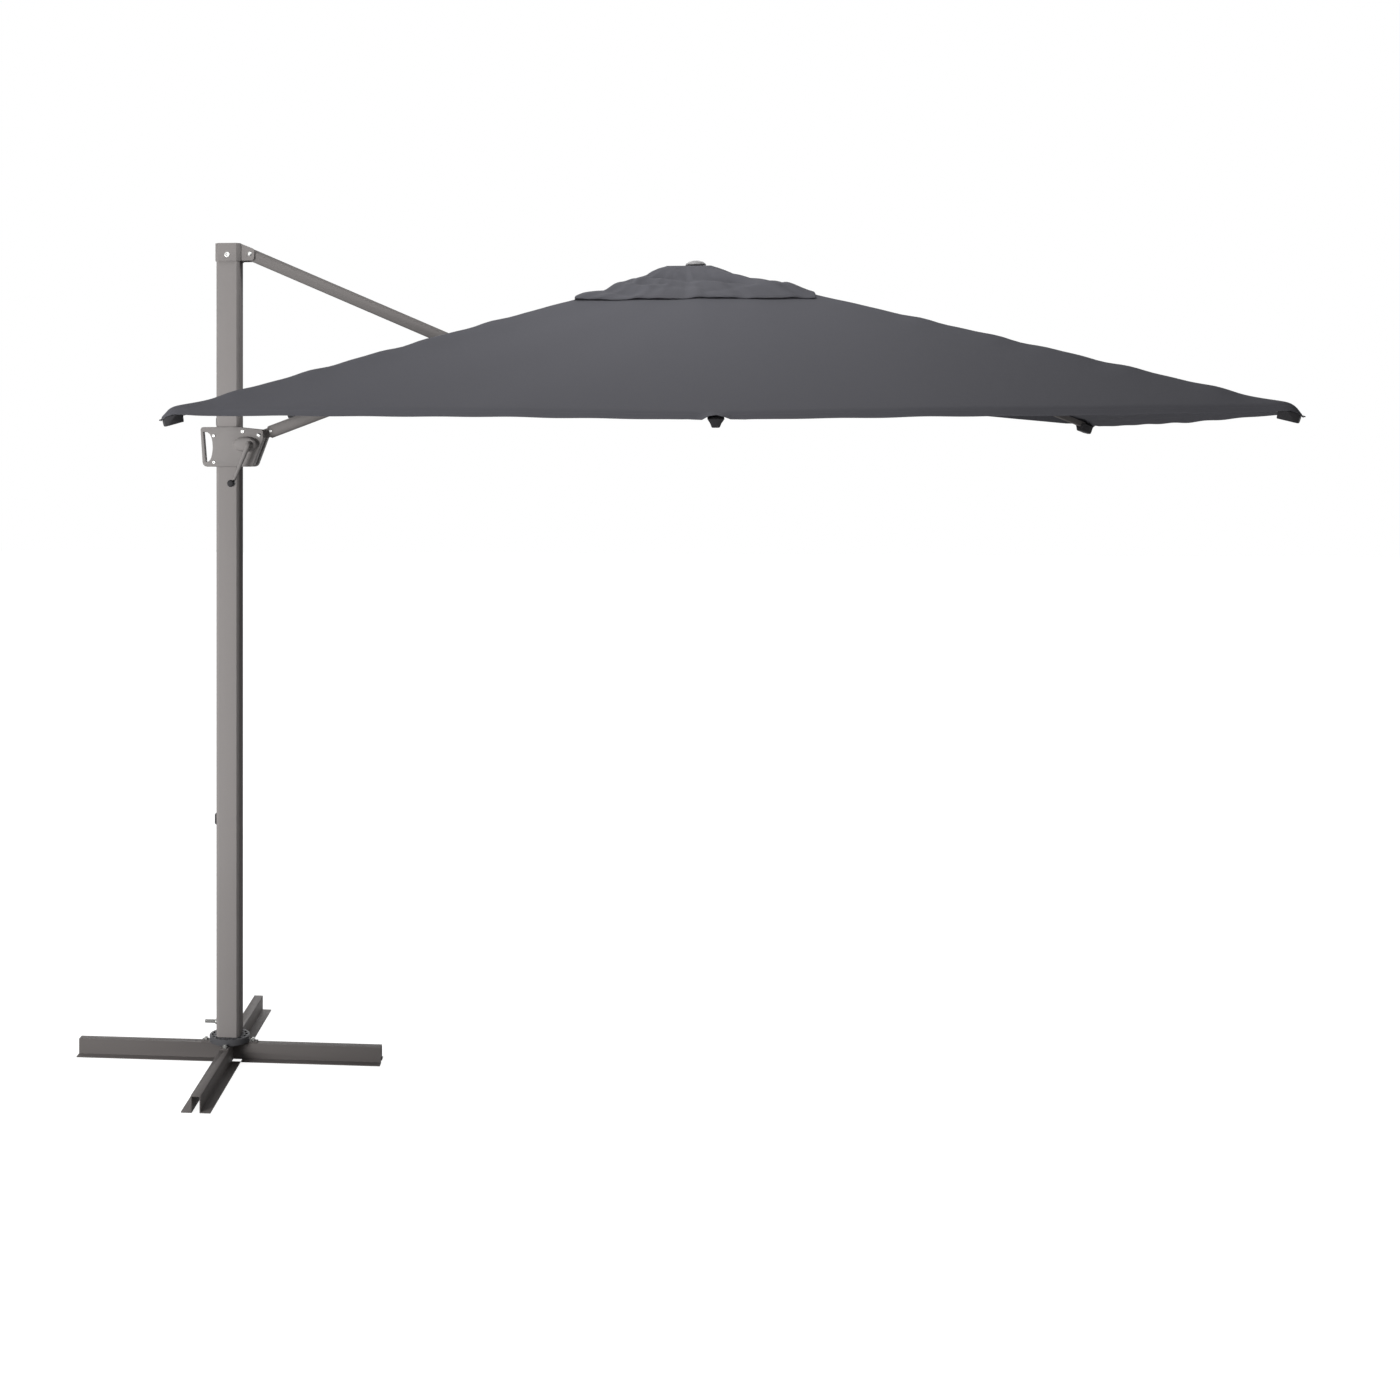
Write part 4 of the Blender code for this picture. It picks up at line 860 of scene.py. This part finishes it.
def pressed_creases(plan):
    """Sharp creases that the cloth keeps from its packing, each along a line of the plan."""
    height = np.zeros(len(plan))
    for start, end, rise in CREASES:
        run = np.subtract(end, start)
        share = np.clip((plan - start) @ run / (run @ run), 0, 1)
        aside = np.linalg.norm(plan - start - share[:, None] * run, axis=1)
        height = height + rise * np.exp(-((aside / CREASE_WIDTH) ** 2))
    return height


def vent_folds(plan, rise):
    """Soft folds of the loose sides, none at the hem or at the plateau."""
    x, y = plan[:, 0], plan[:, 1]
    window = math.sin(math.pi * rise) ** 0.8
    lower = (0.001 + 0.010 * np.tanh(x / 0.15)) * math.exp(-(((rise - 0.24) / 0.15) ** 2))
    upper = 0.010 * math.exp(-(((rise - 0.66) / 0.20) ** 2))
    sway = 1.5 * np.sin(11 * y + 3 * rise)
    pleat = 0.007 * np.sin(19 * x + 8 * rise + sway) * np.sin(4.0 * rise + 13 * y + 0.5)
    crease = 0.006 * np.abs(np.sin(13 * x - 9 * y + 7 * rise)) ** 0.7 - 0.003
    fine = 0.0022 * np.sin(47 * x + 25 * y + 9 * rise)
    return window * (lower - upper + pleat + crease + fine + pressed_creases(plan))


print(len(CREASES), "pressed creases")

# %% [markdown]
# The hem is a short lip that waves above the canopy and throws a thin shadow. From it the sides rise to a
# flat top a little to the left of the finial, with a hole for the finial's stem. No point comes closer to
# the canopy than a small clearance.

# %% Vent surface
PLATEAU_SCALE = 0.19
PLATEAU_Z = HUB.z + 0.025
STEM_HOLE = 0.0123
STEM_RISE = 0.0058
VENT_SHIFT = np.array((-0.017, 0))
PLATEAU_SHIFT = np.array((-0.024, 0))
VENT_CLEAR = 0.0022
HEM_WAVE = 0.0065
LIP = 0.008
LIP_BULGE = 0.001
LIP_MIDDLE = 0.994
LIP_TOP = 0.985
TOP_RIPPLE = 0.003
TOP_RIPPLE_MOST = 0.001
TOP_SAG = 0.001
SIDE_ROWS, TOP_ROWS = 48, 12


def vent_rows():
    """The vent's points, row by row from its hem to the hole for the stem."""
    hem, turn = vent_ring()
    wave = 0.5 + 0.25 * np.sin(11 * turn + 0.6) + 0.15 * np.sin(23 * turn + 2.0) + 0.10 * np.sin(37 * turn)
    foot = hem + VENT_SHIFT
    foot_z = canopy_height(foot) + VENT_CLEAR + HEM_WAVE * wave
    lip_z = foot_z + LIP * (0.6 + 0.4 * wave)
    top = hem * PLATEAU_SCALE + PLATEAU_SHIFT
    hole = STEM_HOLE * hem / np.linalg.norm(hem, axis=1)[:, None]
    rows = [(foot, foot_z), (LIP_MIDDLE * hem + VENT_SHIFT, (foot_z + lip_z) / 2 + LIP_BULGE)]
    for rise in np.linspace(0, 1, SIDE_ROWS + 1):
        plan = (hem * LIP_TOP + VENT_SHIFT) * (1 - rise) + top * rise
        height = lip_z + (PLATEAU_Z - lip_z) * rise + vent_folds(plan, rise)
        rows.append((plan, np.maximum(height, canopy_height(plan) + VENT_CLEAR)))
    for inward in np.linspace(0, 1, TOP_ROWS + 1)[1:]:
        plan = top * (1 - inward) + hole * inward
        ripple = TOP_RIPPLE * np.sin(70 * plan[:, 0] + 50 * plan[:, 1]) * math.sin(math.pi * inward)
        tent = STEM_RISE * inward**2 - TOP_SAG * math.sin(math.pi * inward)
        rows.append((plan, PLATEAU_Z + np.minimum(ripple, TOP_RIPPLE_MOST) + tent))
    return np.array([np.concatenate([plan, height[:, None]], axis=1) for plan, height in rows])


print(f"vent {2 * VENT_HALF[0]:.2f} by {2 * VENT_HALF[1]:.2f} m, top at {PLATEAU_Z:.3f} m")

# %% [markdown]
# The vent has to fold too. Its sides are six sheets, one to a rib, that go down with the canopy below them,
# and its flat top is a seventh that stays on the finial. At rest they meet edge to edge.

# %% Sew the vent
TOP_EDGE_ROW = SIDE_ROWS + 2
VENT_POINTS = vent_rows()
TOP_EASE = 1.05


def vent_sheet(name, points, from_hem, along_hem, closed):
    """A sheet from rows of points, with its weave and stitches, and its area."""
    count = points.shape[1]
    faces = []
    for row in range(len(points) - 1):
        for k in range(count if closed else count - 1):
            low, high, beside = row * count, (row + 1) * count, (k + 1) % count
            faces.append((low + k, low + beside, high + beside, high + k))
    mesh = bpy.data.meshes.new(name)
    mesh.from_pydata((points + (HUB.x, 0, 0)).reshape(-1, 3).tolist(), [], faces)
    sheet = linked(name, mesh)
    mesh.uv_layers.new(name="weave")
    set_weave(mesh, points[..., :2])
    set_attribute(mesh, "from_hem", from_hem)
    set_attribute(mesh, "along_hem", along_hem)
    face_upwards(mesh)
    area = sum(face.area for face in mesh.polygons)
    thicken(sheet)
    mesh.materials.append(SLATE)
    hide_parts("vent_cloth")
    return sheet, area


def make_vent():
    slant = np.concatenate([np.zeros((1, AROUND)), np.linalg.norm(np.diff(VENT_POINTS, axis=0), axis=2)])
    from_hem = np.cumsum(slant, axis=0)
    edge = np.linalg.norm(np.diff(VENT_POINTS[0], axis=0, append=VENT_POINTS[0][:1]), axis=1)
    along_hem = np.tile(np.cumsum(edge), (len(VENT_POINTS), 1))
    half = AROUND // len(RIBS) // 2
    for index, rib in enumerate(RIBS):
        middle = 2 * half * index
        part = np.s_[: TOP_EDGE_ROW + 1], np.arange(middle - half, middle + half + 1) % AROUND
        points = VENT_POINTS[part]
        side, area = vent_sheet("vent_" + rib.name, points, from_hem[part], along_hem[part], False)
        width = float(np.ptp(points[..., :2] @ rib.side))
        length = float(np.ptp(points[..., :2] @ rib.out)) * math.hypot(1, rib.slope) + LIP
        fold_with(side, rib)
        tell_cut(side, area, width, length)
    points = VENT_POINTS[TOP_EDGE_ROW:]
    top, area = vent_sheet("vent_top", points, from_hem[TOP_EDGE_ROW:], along_hem[TOP_EDGE_ROW:], True)
    width, length = (float(np.ptp(points[..., axis])) * TOP_EASE for axis in (0, 1))
    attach(top, "hub")
    tell_cut(top, area, width, length)


make_vent()

# %% [markdown]
# ## End caps
# A dark moulded cap on each rib end holds the cloth. At a corner a short nib sticks out of it, for the loop
# of the storage cover. The caps are softened like the other pieces, and the nib is a cone whose end is
# rounded.

# %% End caps
CAP_EDGE = 0.0016
NIB_LENGTH = 0.030
NIB_RADIUS = 0.0028
NIB_TIP_RADIUS = 0.6 * NIB_RADIUS
NIB_ROUNDING = 0.4 * NIB_RADIUS
NIB_DIP = 0.28
NIB_BELOW_CLOTH = 0.020
NIB_BACK = 0.002


def corner_nib(rib):
    bpy.ops.object.select_all(action="DESELECT")
    bpy.ops.mesh.primitive_cone_add(
        vertices=16,
        radius1=NIB_RADIUS,
        radius2=NIB_TIP_RADIUS,
        depth=NIB_LENGTH,
    )
    nib = named(bpy.context.object, "corner_nib_" + rib.name)
    bevelled(nib, NIB_ROUNDING, segments=3, angle=30, smooth=40)
    outward = Vector((*rib.out, -NIB_DIP)).normalized()
    end = Vector((HUB.x + rib.plan[0], rib.plan[1], rib.height(1) - NIB_BELOW_CLOTH))
    turn = outward.to_track_quat("Z", "Y").to_matrix().to_4x4()
    nib.data.transform(Matrix.Translation(end - outward * (NIB_LENGTH / 2 + NIB_BACK)) @ turn)
    nib.data.materials.append(finishes["dark_plastic"])
    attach(nib, "rib_" + rib.name)


for rib in RIBS:
    softened("end_cap_" + rib.name, "rib_cap_" + rib.name, CAP_EDGE)
    if rib.corner:
        corner_nib(rib)
print("six caps and four nibs")

# %% [markdown]
# ## Crank
# The crank is one bent bar: a boss on the shaft, a round elbow and a tapering handle. A ring of points is
# extruded out of the carriage, spun round the elbow and drawn down to the knob, which stays the solid's.

# %% Crank
CRANK_AXIS = Vector(joints["crank_turn"]["pos_m"])
KNOB_AXIS = Vector(joints["knob_spin"]["pos_m"])
BAR_RADIUS = 0.0084
BAR_END_RADIUS = 0.0052
BAR_RIM = 0.0022
BOSS_WIDER = 1.2
BOSS_STRAIGHT, BOSS_NECK = 0.7, 0.3
ELBOW_RADIUS = 0.0085
BEFORE_KNOB, UNDER_KNOB = 0.004, 0.010
KNOB_OFFSET = 0.0045


def extruded(x, y, z):
    """Extrude what is selected in edit mode, and move it."""
    bpy.ops.mesh.extrude_region_move(TRANSFORM_OT_translate={"value": (x, y, z)})


def bent_bar(out, length):
    """A bar that rises along z, turns and runs along x, made at the origin."""
    bpy.ops.object.select_all(action="DESELECT")
    boss_radius = BOSS_WIDER * BAR_RADIUS
    bpy.ops.mesh.primitive_circle_add(vertices=20, radius=boss_radius, fill_type="NGON", location=(0, 0, 0))
    bar = bpy.context.object
    boss = out - ELBOW_RADIUS
    bpy.ops.object.mode_set(mode="EDIT")
    bpy.ops.mesh.select_all(action="SELECT")
    extruded(0, 0, BOSS_STRAIGHT * boss)
    extruded(0, 0, BOSS_NECK * boss)
    bpy.ops.transform.resize(value=(1 / BOSS_WIDER, 1 / BOSS_WIDER, 1), center_override=(0, 0, boss))
    bpy.ops.mesh.spin(steps=8, angle=math.radians(-90), center=(ELBOW_RADIUS, 0, boss), axis=(0, 1, 0))
    extruded(length - ELBOW_RADIUS - BEFORE_KNOB, 0, 0)
    taper = BAR_END_RADIUS / BAR_RADIUS
    bpy.ops.transform.resize(value=(1, taper, taper), center_override=(0, 0, out))
    extruded(UNDER_KNOB, 0, 0)
    bpy.ops.mesh.select_all(action="SELECT")
    bpy.ops.mesh.remove_doubles(threshold=MERGE)
    bpy.ops.mesh.normals_make_consistent(inside=False)
    bpy.ops.object.mode_set(mode="OBJECT")
    print(f"crank bar {length * 1000:.0f} mm long, {out * 1000:.0f} mm out")
    return bar


def make_crank_bar():
    down = KNOB_AXIS - CRANK_AXIS
    out = -down.y - KNOB_OFFSET
    down.y = 0
    bar = named(bent_bar(out, down.length), "crank_bar")
    only(bar)
    bevelled(bar, BAR_RIM, segments=3, angle=50, smooth=45)
    along, outward = down.normalized(), Vector((0, -1, 0))
    stand = Matrix((along, outward.cross(along), outward)).transposed().to_4x4()
    bar.data.transform(Matrix.Translation(CRANK_AXIS) @ stand)
    bar.data.materials.append(finishes["grey_plastic"])
    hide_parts("crank_arm")
    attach(bar, "crank")


make_crank_bar()

# %% [markdown]
# ## Screws
# Round-headed screws with a sunk socket hold the two shells of the carriage and the head cap, and a rivet
# holds the arm's end fitting. One head is modelled and copied: a disc whose top is inset and pushed in, with
# a rounded rim.

# %% Screws
HEAD_RISE = 0.0032
HEAD_SUNK = 0.3 * HEAD_RISE
HEAD_RIM = 0.0009
SOCKET_INSET = 0.5
SOCKET_DEPTH = 0.6 * HEAD_RISE
LEVEL = 0.9


def pick_faces(mesh, test):
    """Select faces by a test, and go on in edit mode."""
    bpy.ops.object.mode_set(mode="OBJECT")
    for vertex in mesh.vertices:
        vertex.select = False
    for edge in mesh.edges:
        edge.select = False
    for face in mesh.polygons:
        face.select = test(face)
    bpy.ops.object.mode_set(mode="EDIT")
    bpy.ops.mesh.select_mode(type="FACE")


def screw_head():
    bpy.ops.object.select_all(action="DESELECT")
    bpy.ops.mesh.primitive_cylinder_add(vertices=24, radius=1, depth=HEAD_RISE, location=(0, 0, 0))
    head = bpy.context.object
    pick_faces(head.data, lambda face: face.normal.z > LEVEL)
    bpy.ops.mesh.inset(thickness=SOCKET_INSET, depth=0)
    extruded(0, 0, -SOCKET_DEPTH)
    bpy.ops.object.mode_set(mode="OBJECT")
    return head


def place_screw(head, name, radius, place, body):
    screw = linked(name, head.data.copy())
    screw.data.name = name
    scale = Matrix.Diagonal((radius, radius, 1, 1))
    screw.data.transform(Matrix.Translation(place) @ Matrix.Rotation(math.radians(90), 4, "X") @ scale)
    only(screw)
    bevelled(screw, HEAD_RIM, segments=3, angle=30, smooth=35)
    screw.data.materials.append(finishes["zinc_plated"])
    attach(screw, body)


shell_face = -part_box("carriage_back")[1][1]
head = screw_head()
SCREWS = [
    ("carriage_screw_upper", 0.0050, (-0.0428, shell_face, 2.0337), "carriage"),
    ("carriage_screw_lower", 0.0050, (-0.0418, shell_face, 1.9476), "carriage"),
    ("carriage_screw_right", 0.0058, (0.0529, shell_face, 2.0475), "carriage"),
    ("arm_root_rivet", 0.0046, (0.1386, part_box("arm_tube")[0][1], 2.0491), "arm"),
    ("head_cap_screw", 0.0088, (0.0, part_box("head_cap")[0][1], 2.6227), "mast"),
]
for name, radius, (x, y, z), body in SCREWS:
    place_screw(head, name, radius, Vector((x + MAST_X, y - HEAD_SUNK, z)), body)
bpy.data.objects.remove(head)
print(len(SCREWS), "screws set")

# %% [markdown]
# ## Swivel ring
# The mast turns in a moulded ring with a circle of slots, so that it can be locked at any of them. The ring
# is a disc whose top is inset into a rim and a band. Three faces in four of that band are pushed down as
# slots, and a hole is bridged through the middle for the spigot. The slot floors get a darker plastic as
# painted shade.

# %% Swivel ring
RING_RADIUS = 0.0655
RING_BORE = 0.0279
RING_RIM = 0.0008
SLOT_INNER, SLOT_OUTER = 0.0500, 0.0585
SLOT_WALL = 0.0006
SLOT_DEPTH = 0.5
RING_FACES = 64
FACES_PER_SLOT = 4
AT_CENTRE = 0.001


def in_slot(place):
    """Whether a place is on the band, and not on the bar between two slots."""
    turn = math.atan2(place.y, place.x) / (2 * math.pi) * RING_FACES
    is_bar = int(turn + RING_FACES) % FACES_PER_SLOT == FACES_PER_SLOT - 1
    return SLOT_INNER < math.hypot(place.x, place.y) < SLOT_OUTER and not is_bar


def make_ring():
    low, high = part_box("swivel_ring")
    height = high[2] - low[2]
    bpy.ops.object.select_all(action="DESELECT")
    bpy.ops.mesh.primitive_cylinder_add(
        vertices=RING_FACES,
        radius=RING_RADIUS,
        depth=height,
        location=(0, 0, 0),
    )
    ring = named(bpy.context.object, "slotted_ring")
    mesh = ring.data
    mesh.materials.append(RING_PLASTIC)
    mesh.materials.append(finishes["dark_plastic"])
    pick_faces(mesh, lambda face: face.normal.z > LEVEL)
    bpy.ops.mesh.inset(thickness=RING_RADIUS - SLOT_OUTER, depth=0)
    bpy.ops.mesh.inset(thickness=SLOT_OUTER - SLOT_INNER, depth=0)
    bpy.ops.mesh.inset(thickness=SLOT_INNER - RING_BORE, depth=0)
    pick_faces(mesh, lambda face: face.normal.z < -LEVEL)
    bpy.ops.mesh.inset(thickness=RING_RADIUS - RING_BORE, depth=0)
    pick_faces(mesh, lambda face: abs(face.normal.z) > LEVEL and face.center.xy.length < AT_CENTRE)
    bpy.ops.mesh.bridge_edge_loops()
    pick_faces(mesh, lambda face: face.normal.z > LEVEL and in_slot(face.center))
    bpy.ops.mesh.inset(thickness=SLOT_WALL, depth=0)
    extruded(0, 0, -SLOT_DEPTH * height)
    # The slot floors take the darker plastic: painted shade in the slots.
    ring.active_material_index = 1
    bpy.ops.object.material_slot_assign()
    bpy.ops.mesh.select_all(action="SELECT")
    bpy.ops.mesh.normals_make_consistent(inside=False)
    bpy.ops.object.mode_set(mode="OBJECT")
    bevelled(ring, RING_RIM, segments=2, angle=40, smooth=30)
    mesh.transform(Matrix.Translation((MAST_X, 0, (low[2] + high[2]) / 2)))
    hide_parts("swivel_ring")
    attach(ring, nodes["swivel_ring"]["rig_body"])
    print("ring with", RING_FACES // FACES_PER_SLOT, "slots")


make_ring()

# %% [markdown]
# ## Lock bolt
# A threaded bolt runs through the back of the mast's foot and clamps it to the spigot. It is a bar with a
# hexagon nut next to the mast, both with their edges taken off. A modelled thread would be too fine to see,
# so the finish has it: its relief follows the turns, and its colour is darker in the grooves as painted
# shade.

# %% Lock bolt
THREAD = 0.00175
BOLT_RADIUS = 0.0058
BOLT_CHAMFER = 0.0012
NUT_RADIUS = 0.0094
NUT_LENGTH = 0.0085
NUT_CHAMFER = 0.0008
TIP_GAP = 0.0005
MAST_GAP = 0.0006


def threaded(name, colour):
    metal = Finish(name, roughness=0.40, metallic=0.5, specular=0.4)
    along = metal.node("ShaderNodeSeparateXYZ", None, {0: metal.place}, out="X")
    groove_depth_and_shade = metal.math("SINE", along * (2 * math.pi / THREAD)) * 0.5 + 0.5
    # The grooves are painted darker than the crests: painted shade in the thread.
    metal.colour(tuple(c * 0.45 for c in colour), colour, groove_depth_and_shade)
    metal.relief(groove_depth_and_shade, distance=0.0006, strength=0.8)
    return metal.material


def turned_bar(vertices, radius, start, end, chamfer):
    """A bar along x, with its edges taken off."""
    bpy.ops.object.select_all(action="DESELECT")
    bpy.ops.mesh.primitive_cylinder_add(
        vertices=vertices,
        radius=radius,
        depth=end - start,
        location=(0, 0, 0),
    )
    bar = bpy.context.object
    bevelled(bar, chamfer, segments=2, angle=50, smooth=35)
    turn = Matrix.Rotation(math.radians(90), 4, "Y")
    bar.data.transform(Matrix.Translation(((start + end) / 2, 0, 0)) @ turn)
    return bar


def make_lock_bolt():
    low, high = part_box("lock_bolt")
    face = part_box("mast_tube")[0][0] - MAST_GAP
    bolt = turned_bar(24, BOLT_RADIUS, low[0] + TIP_GAP, face, BOLT_CHAMFER)
    bolt.data.materials.append(threaded("bolt_thread", (0.36, 0.36, 0.35)))
    nut = turned_bar(6, NUT_RADIUS, face - NUT_LENGTH, face, NUT_CHAMFER)
    nut.data.materials.append(DULL_ZINC)
    only(bolt)
    nut.select_set(True)
    bpy.ops.object.join()
    named(bolt, "lock_screw")
    bolt.data.transform(Matrix.Translation((0, 0, (low[2] + high[2]) / 2)))
    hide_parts("lock_bolt")
    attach(bolt, nodes["lock_bolt"]["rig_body"])
    print(f"lock bolt {(face - low[0]) * 1000:.0f} mm long")


make_lock_bolt()

# %% [markdown]
# ## Sizes
# A dressed piece that stands out of the real object is easily missed by eye. So the box of the solids and
# the box of the dressed model are kept side by side.

# %% Sizes
size = {"cad": cad_box, "visual": [list(corner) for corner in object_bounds()]}
low, high = size["visual"]
print("dressed from", [round(v, 3) for v in low], "to", [round(v, 3) for v in high])
